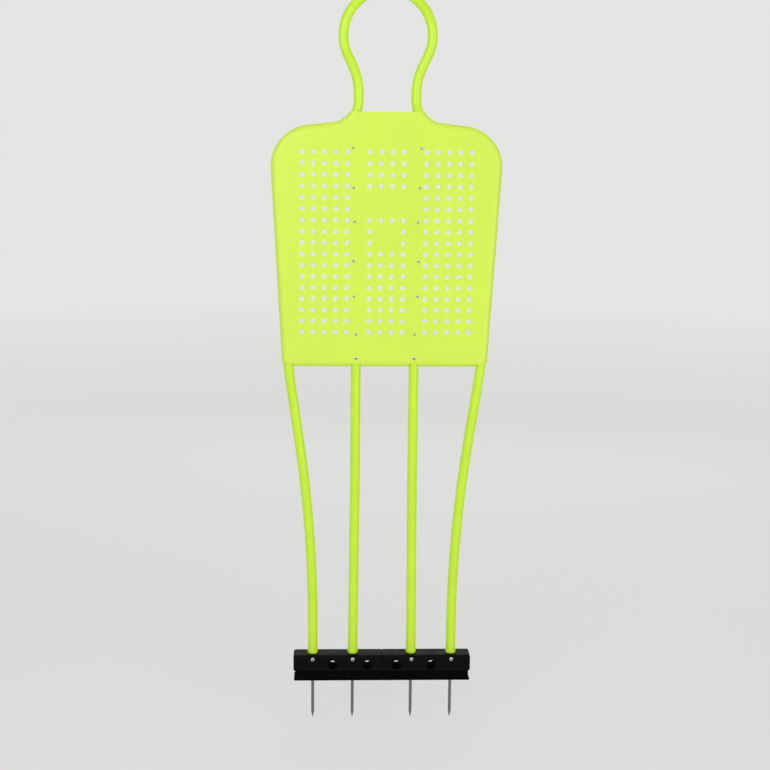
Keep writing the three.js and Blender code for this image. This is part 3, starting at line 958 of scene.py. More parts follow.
@dataclass(frozen=True)
class PlatedSteel(Finish):
    """Steel with a zinc plate or a plain turned finish, with painted shade in its recesses and painted shade
    that darkens it towards the bottom.
    """

    title: str
    colour: Colour = (0.7, 0.71, 0.67)
    worn_colour: Colour = (0.82, 0.82, 0.79)
    # Painted shade: this colour darkens the cross recesses and other hollows, where shade falls.
    recess_shade_colour: Colour = (0.07, 0.072, 0.05)
    recess_shade_reach: float = 0.002
    worn_width: float = 0.0003
    worn_break_up: float = 0.002
    # Painted shade: the steel turns towards this darker colour low down, where less light falls.
    low_shade_colour: Colour = (0.22, 0.22, 0.21)
    low_shade_reach: float = 0.14
    low_shade_patch: float = 0.002
    patch_size: float = 0.004
    shade_amount: float = 0.18
    gloss_roughness: float = 0.24
    dull_roughness: float = 0.38
    mark_pitch: float = 0.0005
    mark_depth: float = 0.000012
    mark_strength: float = 0.5
    mark_detail: float = 2.0
    mark_distortion: float = 1.5
    marks_along: bool = False
    unit_wave_pitch: float = 0.05

    def material(self) -> bpy.types.Material:
        """Build the material."""
        material, bench, shader = new_material(self.title)
        shade = self.mottle(bench)
        worn = EdgeWear.on(bench, {"Width": self.worn_width, "Break Up": self.worn_break_up})["Mask"]
        bright = bench.mixed(worn, shade["Color"], self.worn_colour)
        # Painted shade: the colour darkens in patches towards the bottom.
        values = {"From Height": 0.0, "Reach": self.low_shade_reach, "Patch Size": self.low_shade_patch}
        low_shaded = bench.mixed(GroundDustAndShade.on(bench, values)["Mask"], bright, self.low_shade_colour)
        # Mask of the painted shade in the piece's own recesses.
        recess_shade = HollowMask.on(bench, {"Reach": self.recess_shade_reach})["Mask"]
        values = {
            "Vector": bench.place(),
            "Scale": self.unit_wave_pitch / self.mark_pitch,
            "Distortion": self.mark_distortion,
            "Detail": self.mark_detail,
        }
        form = "BANDS" if self.marks_along else "RINGS"
        marks = bench.add(
            "ShaderNodeTexWave", values, wave_type=form, bands_direction="Z", rings_direction="Z"
        )
        bench.fill(shader, {
            # The base colour takes the painted shade in the recesses.
            "Base Color": bench.mixed(recess_shade, low_shaded, self.recess_shade_colour),
            "Roughness": self.gloss(bench, shade["Patches"]),
            "Normal": bench.bump(marks.outputs["Fac"], self.mark_depth, self.mark_strength),
            "Metallic": 1.0,
        })
        return material


@dataclass
class Finishes:
    """The mannequin's materials, one for each slot."""

    tube_paint: PowderCoat = field(default_factory=PowderCoat)
    panel_plastic: FormedSheet = field(default_factory=FormedSheet)
    base_plastic: MouldedPlastic = field(default_factory=lambda: MouldedPlastic("moulded_base"))
    # The sole's colour is darker than the blocks': painted shade for the recessed band under them.
    sole_plastic: MouldedPlastic = field(default_factory=lambda: MouldedPlastic(
        "moulded_sole",
        colour=(0.0016, 0.0016, 0.0015),
        gloss_roughness=0.6,
        dull_roughness=0.75,
        shine=0.02,
        dust_share=0.05,
    ))
    zinc_steel: PlatedSteel = field(default_factory=lambda: PlatedSteel("zinc_plate"))
    spike_steel: PlatedSteel = field(default_factory=lambda: PlatedSteel(
        "turned_steel",
        colour=(0.2, 0.2, 0.2),
        worn_colour=(0.42, 0.42, 0.41),
        gloss_roughness=0.3,
        dull_roughness=0.44,
        mark_pitch=0.0008,
        mark_depth=0.00002,
        marks_along=True,
    ))
    built: dict[Slot, bpy.types.Material] = field(default_factory=dict)

    def of(self, slot: Slot) -> bpy.types.Material:
        """The material of a slot, built when it is first asked for."""
        if slot not in self.built:
            self.built[slot] = getattr(self, slot.value).material()
        return self.built[slot]


@dataclass
class Fitter:
    """Turns meshes into pieces of the mannequin and sets each on its body.

    Attributes:
        finishes: The materials.
        sharp_angle: Faces that meet at a sharper angle than this keep a crisp edge.
    """

    finishes: Finishes
    sharp_angle: float = math.radians(32.0)

    def fit(
        self,
        name: str,
        mesh: bpy.types.Mesh,
        slot: Slot,
        stands_for: Sequence[str] = (),
        body: Body = Body.FRAME,
        place: Matrix | None = None,
    ) -> bpy.types.Object:
        """Make one piece.

        Args:
            name: The piece's name.
            mesh: Its mesh.
            slot: The slot that it takes its finish from.
            stands_for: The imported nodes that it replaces.
            body: The body that it moves with.
            place: Where it goes, or None where the mesh is already in place.

        Returns:
            The piece.
        """
        mesh.shade_smooth()
        mesh.set_sharp_from_angle(angle=self.sharp_angle)
        mesh.materials.clear()
        mesh.materials.append(self.finishes.of(slot))
        piece = bpy.data.objects.new(name, mesh)
        bpy.context.scene.collection.objects.link(piece)
        if place is not None:
            piece.matrix_world = place
        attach(piece, body.value)
        if stands_for:
            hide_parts(*stands_for)
        log.info("%s: %d faces, %s, on %s", name, len(mesh.polygons), slot.value, body.value)
        return piece

    def dress(self, nodes: Iterable[str], slot: Slot) -> None:
        """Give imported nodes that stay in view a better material.

        Args:
            nodes: The nodes' names.
            slot: The slot whose finish they take.
        """
        for name in nodes:
            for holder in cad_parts[name].material_slots:
                holder.material = self.finishes.of(slot)
            log.info("%s: kept, %s", name, slot.value)


@dataclass
class TubeStock:
    """The round steel tube that the figure is bent from."""

    diameter: float = 0.0254
    wall: float = 0.0016
    sides: int = 48

    @property
    def radius(self) -> float:
        """The tube's outer radius."""
        return self.diameter / 2

    @property
    def bore(self) -> float:
        """The radius of the tube's bore."""
        return self.radius - self.wall


@dataclass
class FootBead:
    """The rounded bead round a tube where it stops on the base."""

    above_end: float = 0.039
    height: float = 0.009
    stand_out: float = 0.0012
    squareness: float = 4.0
    steps: int = 14

    def distances(self) -> list[float]:
        """Distances from the tube's end at which the bead needs a ring."""
        return [
            self.above_end + self.height * (1.0 - math.cos(math.pi * step / self.steps)) / 2
            for step in range(self.steps + 1)
        ]

    def swell(self, distance: float) -> float:
        """How far the bead stands out at a distance from the tube's end."""
        share = abs(2.0 * (distance - self.above_end) / self.height - 1.0)
        if share >= 1.0:
            return 0.0
        return self.stand_out * (1.0 - share**self.squareness) ** (1.0 / self.squareness)


@dataclass
class TubeFrame:
    """The silhouette tube and the two inner leg tubes, with their welds.

    The figure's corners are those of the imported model's tube, in metres.
    """

    stock: TubeStock = field(default_factory=TubeStock)
    bead: FootBead = field(default_factory=FootBead)
    tube_end: float = 0.0303
    foot_half_width: float = 0.184
    calf: Corner = Corner(0.184, 0.398295, 3.5)
    hip: Corner = Corner(0.2476, 0.835, 0.6)
    shoulder: Corner = Corner(0.2812, 1.431, 0.089)
    neck_root: Corner = Corner(0.072, 1.4545, 0.07)
    neck_top: Corner = Corner(0.072, 1.568, 0.15)
    neck_flare: float = math.radians(25.0)
    head_bend: float = 0.111
    inner_foot_half_width: float = 0.078
    inner_shin: Corner = Corner(0.0747, 0.55945, 2.5)
    inner_waist: Corner = Corner(0.0747, 0.905, 2.5)
    inner_top: Corner = Corner(0.0803, 1.4837)
    cope_start: float = 0.06
    cope_search: float = 0.12
    cope_gap: float = 0.0003
    march_step: float = 0.001
    cope_halvings: int = 8
    weld_radius: float = 0.0026
    weld_sides: int = 10
    weld_ripples: int = 26
    weld_samples: int = 6
    weld_ripple_share: float = 0.13
    foot_screw_height: float = 0.0595
    foot_screw_hole: float = 0.0062
    panel_screw_hole: float = 0.0048

    def __post_init__(self) -> None:
        """Lay the centre lines."""
        self.silhouette = BentPath(self.silhouette_corners())
        self.inner = BentPath([
            Corner(self.inner_foot_half_width, self.tube_end),
            self.inner_shin,
            self.inner_waist,
            self.inner_top,
        ])

    def silhouette_corners(self) -> list[Corner]:
        """Corners of the silhouette, from the right foot over the head to the left foot."""
        head_half_width = self.head_bend * math.tan((math.pi / 2 + self.neck_flare) / 2)
        head_rise = (head_half_width - self.neck_top.across) / math.tan(self.neck_flare)
        half = [
            Corner(self.foot_half_width, self.tube_end),
            self.calf,
            self.hip,
            self.shoulder,
            self.neck_root,
            self.neck_top,
            Corner(head_half_width, self.neck_top.height + head_rise, self.head_bend),
        ]
        return half + [corner.mirrored() for corner in reversed(half)]

    def screw_hole(self, across: float, height: float, diameter: float) -> Skin:
        """A cutter through a tube's front wall.

        Args:
            across: The hole's x.
            height: The hole's height.
            diameter: The hole's diameter.

        Returns:
            The cutter, in place.
        """
        return Skin().add(drill(diameter / 2, self.stock.diameter), moved(across, height) @ TO_FRONT)

    def wall(self, stations: Sequence[Station], swell: Callable[[float], float]) -> tuple[Rings, Rings]:
        """Rings of a tube's outside and of its bore.

        Args:
            stations: Where the rings go.
            swell: Gives how far the outside stands out at a distance along the tube.

        Returns:
            The rings outside and those in the bore.
        """
        sides = self.stock.sides
        outer = swept_rings(stations, lambda station: self.stock.radius + swell(station.distance), sides)
        return outer, swept_rings(stations, lambda station: self.stock.bore, sides)

    def silhouette_mesh(self) -> bpy.types.Mesh:
        """The silhouette tube, with a bead at each foot and its two cross holes."""
        length = self.silhouette.stations[-1].distance
        near = self.bead.distances()
        stations = self.silhouette.with_distances([*near, *(length - distance for distance in near)])
        outer, bore = self.wall(
            stations, lambda distance: max(self.bead.swell(distance), self.bead.swell(length - distance))
        )
        mesh = hollow(outer, bore).mesh("silhouette_tube")
        holes = Skin()
        for side in Side:
            across = side.value * self.foot_half_width
            holes.add(self.screw_hole(across, self.foot_screw_height, self.foot_screw_hole))
        return cut(mesh, holes)

    def inner_mesh(self, side: Side, screw_places: Sequence[tuple[float, float]]) -> bpy.types.Mesh:
        """An inner leg tube, coped at its top to the bend at the neck's root.

        Args:
            side: Which side it stands on.
            screw_places: The x and height of each panel screw that bites into the right one.

        Returns:
            The tube's mesh, in place.
        """
        stop = self.inner.at_height(self.neck_root.height - self.cope_start).distance
        stations = [
            station for station in self.inner.with_distances([*self.bead.distances(), stop])
            if station.distance <= stop
        ]
        outer, bore = self.wall(stations, self.bead.swell)
        for rings in (outer, bore):
            rings.append(self.coped(rings[-1], stations[-1].along))
        mesh = hollow(outer, bore).mesh(f"leg_tube_{side.word}")
        holes = self.screw_hole(self.inner_foot_half_width, self.foot_screw_height, self.foot_screw_hole)
        for across, height in screw_places:
            holes.add(self.screw_hole(across, height, self.panel_screw_hole))
        return mirrored_to(cut(mesh, holes), side)

    def coped(self, ring: Sequence[Vector], along: Vector) -> list[Vector]:
        """Points moved up a tube until they meet the silhouette tube.

        Args:
            ring: The points to start from.
            along: The tube's direction.

        Returns:
            The points on the cope.
        """
        reach = self.stock.radius + self.cope_gap
        met = []
        for start in ring:
            low = 0.0
            while self.silhouette.clear_of(start + along * (low + self.march_step)) > reach:
                low += self.march_step
                if low > self.cope_search:
                    break
            high = low + self.march_step
            for _ in range(self.cope_halvings):
                middle = (low + high) / 2
                if self.silhouette.clear_of(start + along * middle) > reach:
                    low = middle
                else:
                    high = middle
            met.append(start + along * low)
        return met

    def weld_mesh(self, side: Side, sheet_inside: float) -> bpy.types.Mesh:
        """The weld round an inner tube's cope, kept thin where the sheet lies over it.

        Args:
            side: Which side it is on.
            sheet_inside: Depth of the sheet's inner face in front of the tubes' plane.

        Returns:
            The weld's mesh, in place.
        """
        start = self.inner.at_height(self.neck_root.height - self.cope_start)
        count = self.weld_ripples * self.weld_samples
        ring = swept_rings([start], lambda station: self.stock.radius, count)[0]
        line = self.coped(ring, start.along)
        skin = Skin()
        rings = []
        for i, point in enumerate(line):
            ahead = (line[(i + 1) % count] - line[i - 1]).normalized()
            out = (ring[i] - start.point).normalized()
            out = (out - ahead * out.dot(ahead)).normalized()
            over = ahead.cross(out)
            ripple = math.sin(math.tau * i / self.weld_samples)
            radius = self.weld_radius * (1.0 + self.weld_ripple_share * ripple)
            room = sheet_inside - self.cope_gap + point.y
            radius = max(min(radius, room), self.cope_gap / 2)
            around = circle(radius, self.weld_sides)
            rings.append(skin.ring(point + out * across + over * lift for across, lift in around))
        skin.bridge_all([*rings, rings[0]])
        return mirrored_to(skin.mesh(f"neck_weld_{side.word}"), side)

    def build(
        self, fitter: Fitter, screw_places: Sequence[tuple[float, float]], sheet_inside: float
    ) -> None:
        """Make the tubes and welds.

        Args:
            fitter: Sets the pieces in place.
            screw_places: The x and height of each panel screw on the right.
            sheet_inside: Depth of the sheet's inner face in front of the tubes' plane.
        """
        fitter.fit("silhouette_tube", self.silhouette_mesh(), Slot.TUBE_PAINT, ["outer_tube"])
        for side in Side:
            mesh = self.inner_mesh(side, screw_places)
            fitter.fit(f"leg_tube_{side.word}", mesh, Slot.TUBE_PAINT, [f"inner_tube_{side.word}"])
            fitter.fit(f"neck_weld_{side.word}", self.weld_mesh(side, sheet_inside), Slot.TUBE_PAINT)


def facing_front(seat: Vector, order: float) -> Matrix:
    """Where a screw goes whose head faces the front.

    Args:
        seat: Where the underside of its head lies.
        order: A number of its own, which sets how far it was turned home.

    Returns:
        The screw's place.
    """
    return Matrix.Translation(seat) @ TO_FRONT @ Matrix.Rotation(GOLDEN_TURN * order, 4, "Z")


@dataclass
class Thread:
    """A screw thread about the Z axis.

    Attributes:
        core: Radius at the thread's root.
        crest: Radius at its crest.
        pitch: Height of one turn.
        steps: Rings in one turn.
    """

    core: float
    crest: float
    pitch: float
    steps: int = 6

    def levels(self, low: float, high: float) -> list[Level]:
        """Rings of the thread between two heights, lowest first."""
        count = max(round((high - low) / self.pitch * self.steps), 2)
        return [self.level(low + (high - low) * i / count, low, high) for i in range(count + 1)]

    def level(self, height: float, low: float, high: float) -> Level:
        """One ring of the thread, faded out at both ends."""
        fade = min((height - low) / self.pitch, (high - height) / self.pitch, 1.0)

        def reach(turn: float) -> float:
            """The radius at an angle."""
            phase = (height / self.pitch - turn / math.tau) % 1.0
            ridge = 1.0 - abs(2.0 * phase - 1.0)
            return self.core + (self.crest - self.core) * ridge * fade

        return height, reach


@dataclass(frozen=True)
class PanScrew:
    """A pan head screw with a cross recess. Its head stands on the origin and its point is below.

    Attributes:
        head: Diameter of the head.
        head_height: Height of the head.
        shank: Diameter of the thread.
        length: Length under the head.
    """

    head: float
    head_height: float
    shank: float
    length: float
    sides: int = 32
    dome_steps: int = 7
    seat_share: float = 0.97
    seat_break: float = 0.0002
    side_share: float = 0.4
    taper_share: float = 0.985
    flat_share: float = 0.35
    core_share: float = 0.72
    pitch_share: float = 0.36
    arm_share: float = 0.32
    arm_width_share: float = 0.17
    recess_share: float = 0.85
    foot_share: float = 0.4

    def levels(self) -> list[Level]:
        """The screw's profile, from its point up over its head."""
        radius = self.head / 2
        crest = self.shank / 2
        thread = Thread(crest * self.core_share, crest, self.shank * self.pitch_share)
        edge = self.head_height * self.side_share
        levels: list[Level] = [(-self.length, 0.0)]
        levels += thread.levels(-self.length + self.shank, 0.0)
        levels += [(0.0, radius * self.seat_share), (self.seat_break, radius)]
        for turn in quarter_turns(self.dome_steps):
            reach = self.flat_share + (self.taper_share - self.flat_share) * math.cos(turn)
            levels.append((edge + (self.head_height - edge) * math.sin(turn), radius * reach))
        return levels

    def recess(self) -> Skin:
        """The cutter of the cross recess."""
        arm = self.head * self.arm_share
        width = self.head * self.arm_width_share / 2
        corners = ((arm, -width), (arm, width), (width, width))
        quarters = [Matrix.Rotation(math.pi / 2 * quarter, 2) for quarter in range(4)]
        cross = [quarter @ Vector(corner) for quarter in quarters for corner in corners]
        floor = self.head_height * (1.0 - self.recess_share)
        levels = ((floor, self.foot_share), (self.head_height, 1.0), (2 * self.head_height, 1.0))
        return lofted([
            [Vector((corner.x * share, corner.y * share, height)) for corner in cross]
            for height, share in levels
        ])

    def mesh(self, name: str) -> bpy.types.Mesh:
        """Make the screw's mesh."""
        return cut(turned(self.levels(), self.sides).mesh(name), self.recess())


@dataclass
class HolePattern:
    """The round holes of the torso sheet, in three blocks of columns on one square grid."""

    diameter: float = 0.0125
    pitch: float = 0.0285
    rows: int = 17
    first_row_drop: float = 0.0995
    centre_columns: tuple[float, ...] = (0.5, 1.5)
    side_columns: tuple[float, ...] = (3.5, 4.5, 5.5, 6.5, 7.5)
    bare_centre_rows: tuple[int, ...] = (4, 5)
    outer_only_centre_rows: tuple[int, ...] = (7, 8)

    def centres(self, sheet_top: float) -> list[tuple[float, float]]:
        """Where the holes are.

        Args:
            sheet_top: Height of the sheet's top edge.

        Returns:
            The x and height of each hole.
        """
        places = []
        for row in range(self.rows):
            height = sheet_top - self.first_row_drop - row * self.pitch
            columns = self.side_columns
            if row in self.outer_only_centre_rows:
                columns = (max(self.centre_columns), *columns)
            elif row not in self.bare_centre_rows:
                columns = (*self.centre_columns, *columns)
            for column in columns:
                places.extend((side.value * column * self.pitch, height) for side in Side)
        return places


@dataclass
class TorsoSheet:
    """The perforated torso sheet, rolled back round the silhouette tube and notched at its hem.

    Attributes:
        tubes: The tubes that the sheet goes round.
    """

    tubes: TubeFrame
    pattern: HolePattern = field(default_factory=HolePattern)
    screw_numbers: range = range(1, 8)
    panel_screw: PanScrew = PanScrew(head=0.0085, head_height=0.0029, shank=0.0042, length=0.0143)
    hem_screw: PanScrew = PanScrew(head=0.0105, head_height=0.0033, shank=0.0042, length=0.0143)
    thickness: float = 0.0024
    roll_steps: int = 8
    corner_steps: int = 8
    edge_break: float = 0.0004
    hole_sides: int = 28
    screw_hole: float = 0.0048
    over_top: float = 0.02
    notch_gap: float = 0.0008
    notch_height: float = 0.008
    notch_radius: float = 0.0022
    tube_clearance: float = 0.0003

    def __post_init__(self) -> None:
        """Read the sheet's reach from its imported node."""
        low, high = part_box("torso_panel")
        self.bottom = low.z
        self.top = high.z
        self.outside = -low.y
        self.inside = self.outside - self.thickness
        self.back = high.y
        self.hem_height = self.bottom + self.outside

    def screw_places(self) -> list[tuple[float, float]]:
        """The x and height of each panel screw on the right, from the hem up."""
        middles = [middle_of(f"panel_screw_right_{number}") for number in self.screw_numbers]
        return [(middle.x, middle.z) for middle in middles]

    def edge_line(self) -> list[tuple[Vector, Vector]]:
        """The line that the sheet is rolled round, with the outward direction at each point.

        It runs from the right hem corner up the right side past the sheet's top, then from the left neck
        down to the left hem corner.
        """
        path = self.tubes.silhouette
        hem = path.at_height(self.hem_height)
        right = [
            (station.point, station.outward) for station in path.stations
            if station.point.x > 0 and self.hem_height < station.point.z < self.top + self.over_top
        ]
        line = []
        for step in range(self.corner_steps):
            share = step / self.corner_steps
            line.append((hem.point, (-UP).slerp(hem.outward, share)))
        line.append((hem.point, hem.outward))
        line.extend(right)
        flip = Vector((-1.0, 1.0, 1.0))
        return line + [(point * flip, out * flip) for point, out in reversed(line)]

    def section(self) -> list[tuple[float, float]]:
        """The rolled edge's section as outward and backward distances, from front face to inner face."""
        roll = [(math.sin(turn), -math.cos(turn)) for turn in quarter_turns(self.roll_steps)]
        break_at = self.back - self.edge_break
        outer = [(self.outside * across, self.outside * back) for across, back in roll]
        inner = [(self.inside * across, self.inside * back) for across, back in roll]
        lip = [
            (self.outside, break_at),
            (self.outside - self.edge_break, self.back),
            (self.inside + self.edge_break, self.back),
            (self.inside, break_at),
        ]
        return outer + lip + inner[::-1]

    def rolled_edge(self, skin: Skin, line: Sequence[tuple[Vector, Vector]]) -> None:
        """Add the rolled edge along both sides and the hem.

        Args:
            skin: The sheet's skin.
            line: The line that the edge is rolled round.
        """
        rows = []
        for point, out in [*line, line[0]]:
            rows.append(skin.ring(point + out * across + BACK * back for across, back in self.section()))
        over_neck = len(line) // 2 - 1
        for i, (first, second) in enumerate(zip(rows, rows[1:])):
            if i != over_neck:
                skin.bridge(first, second, closed=False)

    def faces_and_holes(self, skin: Skin, line: Sequence[tuple[Vector, Vector]]) -> None:
        """Add the sheet's front and inner faces with their holes, and the walls of the holes.

        Args:
            skin: The sheet's skin.
            line: The line that the edge is rolled round.
        """
        outline = []
        for point, _ in line:
            if not outline or (point - outline[-1]).length > WELD:
                outline.append(point)
        loops = [[Vector((point.x, point.z)) for point in outline]]
        holes = [(x, z, self.pattern.diameter / 2) for x, z in self.pattern.centres(self.top)]
        for across, height in self.screw_places():
            holes.extend((side.value * across, height, self.screw_hole / 2) for side in Side)
        for x, z, radius in holes:
            mouth = circle(radius + self.edge_break, self.hole_sides)
            loops.append([Vector((x + across, z + up)) for across, up in mouth])
            self.hole_wall(skin, x, z, radius)
        points = [point for loop in loops for point in loop]
        starts = [sum(len(loop) for loop in loops[:i]) for i in range(len(loops))]
        edges = [list(range(start, start + len(loop))) for start, loop in zip(starts, loops)]
        inside_with_holes = 2
        flat, _, triangles, *_ = delaunay_2d_cdt(points, [], edges, inside_with_holes, WELD)
        for depth in (-self.outside, -self.inside):
            numbers = skin.ring(Vector((point.x, depth, point.y)) for point in flat)
            skin.faces.extend(tuple(numbers[i] for i in triangle) for triangle in triangles)

    def hole_wall(self, skin: Skin, x: float, z: float, radius: float) -> None:
        """Add the wall of one hole, with both of its edges broken.

        Args:
            skin: The sheet's skin.
            x: The hole's x.
            z: The hole's height.
            radius: The hole's radius.
        """
        levels = (
            (radius + self.edge_break, -self.outside),
            (radius, -self.outside + self.edge_break),
            (radius, -self.inside - self.edge_break),
            (radius + self.edge_break, -self.inside),
        )
        skin.bridge_all([
            skin.ring(Vector((x + across, depth, z + up)) for across, up in circle(reach, self.hole_sides))
            for reach, depth in levels
        ])

    def trimmed(self, mesh: bpy.types.Mesh) -> bpy.types.Mesh:
        """Cut the sheet off level at its top edge.

        Args:
            mesh: The sheet, open where it runs past its top.

        Returns:
            The same mesh, closed.
        """
        form = bmesh.new()
        form.from_mesh(mesh)
        everything = [*form.verts, *form.edges, *form.faces]
        result = bmesh.ops.bisect_plane(
            form, geom=everything, plane_co=UP * self.top, plane_no=UP, clear_outer=True
        )
        rim = [item for item in result["geom_cut"] if isinstance(item, bmesh.types.BMEdge)]
        bmesh.ops.holes_fill(form, edges=rim, sides=0)
        bmesh.ops.recalc_face_normals(form, faces=form.faces)
        form.to_mesh(mesh)
        form.free()
        return mesh

    def hem_notches(self) -> Skin:
        """Cutters for the notches in which the four tubes leave the hem."""
        half = self.tubes.stock.radius + self.notch_gap
        inner = self.tubes.inner.at_height(self.bottom).point.x
        outer = self.tubes.silhouette.at_height(self.bottom).point.x
        past_side = self.tubes.stock.diameter
        spans = ((inner - half, inner + half), (outer - half, outer + past_side))
        cutters = Skin()
        for near, far in spans:
            middle = (near + far) / 2
            outline = rounded_outline(
                (far - near) / 2,
                self.bottom - 2 * self.notch_radius,
                self.bottom + self.notch_height,
                self.notch_radius,
                self.notch_radius,
            )
            for side in Side:
                sections = [
                    [Vector((side.value * middle + x, depth, z)) for x, z in outline]
                    for depth in (-2 * self.outside, 2 * self.outside)
                ]
                cutters.add(lofted(sections))
        return cutters

    def tube_clearances(self) -> Skin:
        """Cutters along the tubes through the hem."""
        cutters = Skin()
        for path in (self.tubes.silhouette, self.tubes.inner):
            low = path.at_height(self.bottom - self.outside)
            high = path.at_height(self.hem_height)
            radius = self.tubes.stock.radius + self.tube_clearance
            rings = swept_rings([low, high], lambda station: radius, self.tubes.stock.sides)
            right = lofted(rings)
            cutters.add(right)
            cutters.add(right, Matrix.Scale(-1.0, 4, ACROSS))
        return cutters

    def build(self, fitter: Fitter) -> None:
        """Make the sheet and its screws."""
        line = self.edge_line()
        skin = Skin()
        self.rolled_edge(skin, line)
        self.faces_and_holes(skin, line)
        mesh = self.trimmed(skin.mesh("torso_sheet"))
        mesh = cut(mesh, self.hem_notches())
        mesh = cut(mesh, self.tube_clearances())
        fitter.fit("torso_sheet", mesh, Slot.PANEL_PLASTIC, ["torso_panel"])
        panel_bolt = self.panel_screw.mesh("panel_screw")
        hem_bolt = self.hem_screw.mesh("hem_screw")
        for side in Side:
            for number in self.screw_numbers:
                node = f"panel_screw_{side.word}_{number}"
                middle = middle_of(node)
                place = facing_front(Vector((middle.x, -self.outside, middle.z)), number + side.value)
                mesh = hem_bolt if number == self.screw_numbers[0] else panel_bolt
                fitter.fit(f"panel_bolt_{side.word}_{number}", mesh, Slot.ZINC_STEEL, [node], place=place)


@dataclass
class BaseBar:
    """The two moulded base blocks, the sole under them, and their screws, plugs and bushes."""

    foot_screw: PanScrew = PanScrew(head=0.01, head_height=0.0033, shank=0.0055, length=0.0363)
    sole_screw: PanScrew = PanScrew(head=0.011, head_height=0.003, shank=0.005, length=0.041)
    edge_radius: float = 0.009
    end_radius: float = 0.006
    under_radius: float = 0.003
    least_under_radius: float = 0.00075
    seam_break: float = 0.0012
    seam_pad_inset: float = 0.003
    arc_steps: int = 8
    block_hole_sides: int = 48
    sole_hole_sides: int = 40
    socket_radius: float = 0.0132
    socket_floor: float = 0.03
    socket_break: float = 0.0012
    cross_hole_radius: float = 0.0125
    cross_hole_height: float = 0.043
    cross_hole_lip: float = 0.0016
    cross_holes: tuple[float, ...] = (0.039, 0.131)
    screw_hole_radius: float = 0.0031
    sole_screw_hole_radius: float = 0.0029
    sole_screw_hole_top: float = 0.048
    sole_set_back: float = 0.0045
    lip_set_back: float = 0.0015
    lip_height: float = 0.003
    rib_width: float = 0.007
    sole_corner: float = 0.003
    sole_break: float = 0.0005
    recess_radius: float = 0.0062
    recess_depth: float = 0.004
    screw_seat_gap: float = 0.0003
    bush_hole_radius: float = 0.0074
    bush_seat_radius: float = 0.0114
    bush_radius: float = 0.007
    flange_radius: float = 0.011
    flange_height: float = 0.003
    flange_gap: float = 0.0003
    bush_bore: float = 0.0039
    bush_break: float = 0.0006

    def __post_init__(self) -> None:
        """Read the bar's reach and the tubes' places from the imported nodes."""
        low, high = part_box("base_block_right")
        self.seam = low.x
        self.half_length = high.x
        self.half_depth = high.y
        self.low = low.z
        self.top = high.z
        self.feet = {foot: middle_of(f"spike_{foot.value}").x for foot in Foot}
        self.sole_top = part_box("sole")[1].z
        self.sole_screws = {foot: middle_of(f"sole_screw_{foot.value}").x for foot in Foot}
        self.foot_screw_height = middle_of(f"foot_screw_{Foot.INNER_LEFT.value}").z

    def block_section(self, x: float, inset: float) -> list[Vector]:
        """The block's section at a place along the bar, drawn in by an inset."""
        outline = rounded_outline(
            self.half_depth - inset,
            self.low + inset,
            self.top - inset,
            self.edge_radius - inset,
            max(self.under_radius - inset, self.least_under_radius),
            self.arc_steps,
        )
        return [Vector((x, y, z)) for y, z in outline]

    def block_mesh(self, side: Side) -> bpy.types.Mesh:
        """One base block with its sockets and holes, and the pad on which it meets the other block."""
        sections = [
            self.block_section(0.0, self.seam_pad_inset),
            self.block_section(self.seam, self.seam_pad_inset),
            self.block_section(self.seam, self.seam_break),
            self.block_section(self.seam + self.seam_break, 0.0),
        ]
        shoulder = self.half_length - self.end_radius
        for turn in quarter_turns(self.arc_steps):
            x = shoulder + self.end_radius * math.sin(turn)
            sections.append(self.block_section(x, self.end_radius * (1.0 - math.cos(turn))))
        mesh = lofted(sections).mesh(f"block_{side.word}")
        mesh = cut(mesh, self.block_sockets())
        mesh = cut(mesh, self.block_holes())
        return mirrored_to(mesh, side)

    def right_feet(self) -> list[float]:
        """The x of each tube on the right."""
        return [self.feet[Foot.INNER_RIGHT], self.feet[Foot.OUTER_RIGHT]]

    def block_sockets(self) -> Skin:
        """Cutters of the tube sockets and of the screw holes from below."""
        cutters = Skin()
        mouth = self.socket_radius + self.socket_break
        socket = turned([
            (self.socket_floor, self.socket_radius),
            (self.top - self.socket_break, self.socket_radius),
            (self.top, mouth),
            (self.top + self.socket_break, mouth),
        ], self.block_hole_sides)
        for x in self.right_feet():
            cutters.add(socket, moved(x))
        screw = drill(self.sole_screw_hole_radius, self.sole_screw_hole_top)
        for x in self.sole_screws.values():
            if x > 0:
                cutters.add(screw, moved(x))
        return cutters

    def block_holes(self) -> Skin:
        """Cutters of the cross holes, with rounded lips, and of the foot screws' holes."""
        cutters = Skin()
        lip = [(self.half_depth + self.cross_hole_lip, self.cross_hole_radius + self.cross_hole_lip)]
        for turn in quarter_turns(self.arc_steps):
            depth = self.half_depth - self.cross_hole_lip * (1.0 - math.cos(turn))
            lip.append((depth, self.cross_hole_radius + self.cross_hole_lip * (1.0 - math.sin(turn))))
        hole = turned([*((-depth, radius) for depth, radius in lip), *lip[::-1]], self.block_hole_sides)
        for x in self.cross_holes:
            cutters.add(hole, moved(x, self.cross_hole_height) @ TO_FRONT)
        screw = drill(self.screw_hole_radius, 2 * self.half_depth)
        for x in self.right_feet():
            cutters.add(screw, moved(x, self.foot_screw_height) @ TO_FRONT)
        return cutters

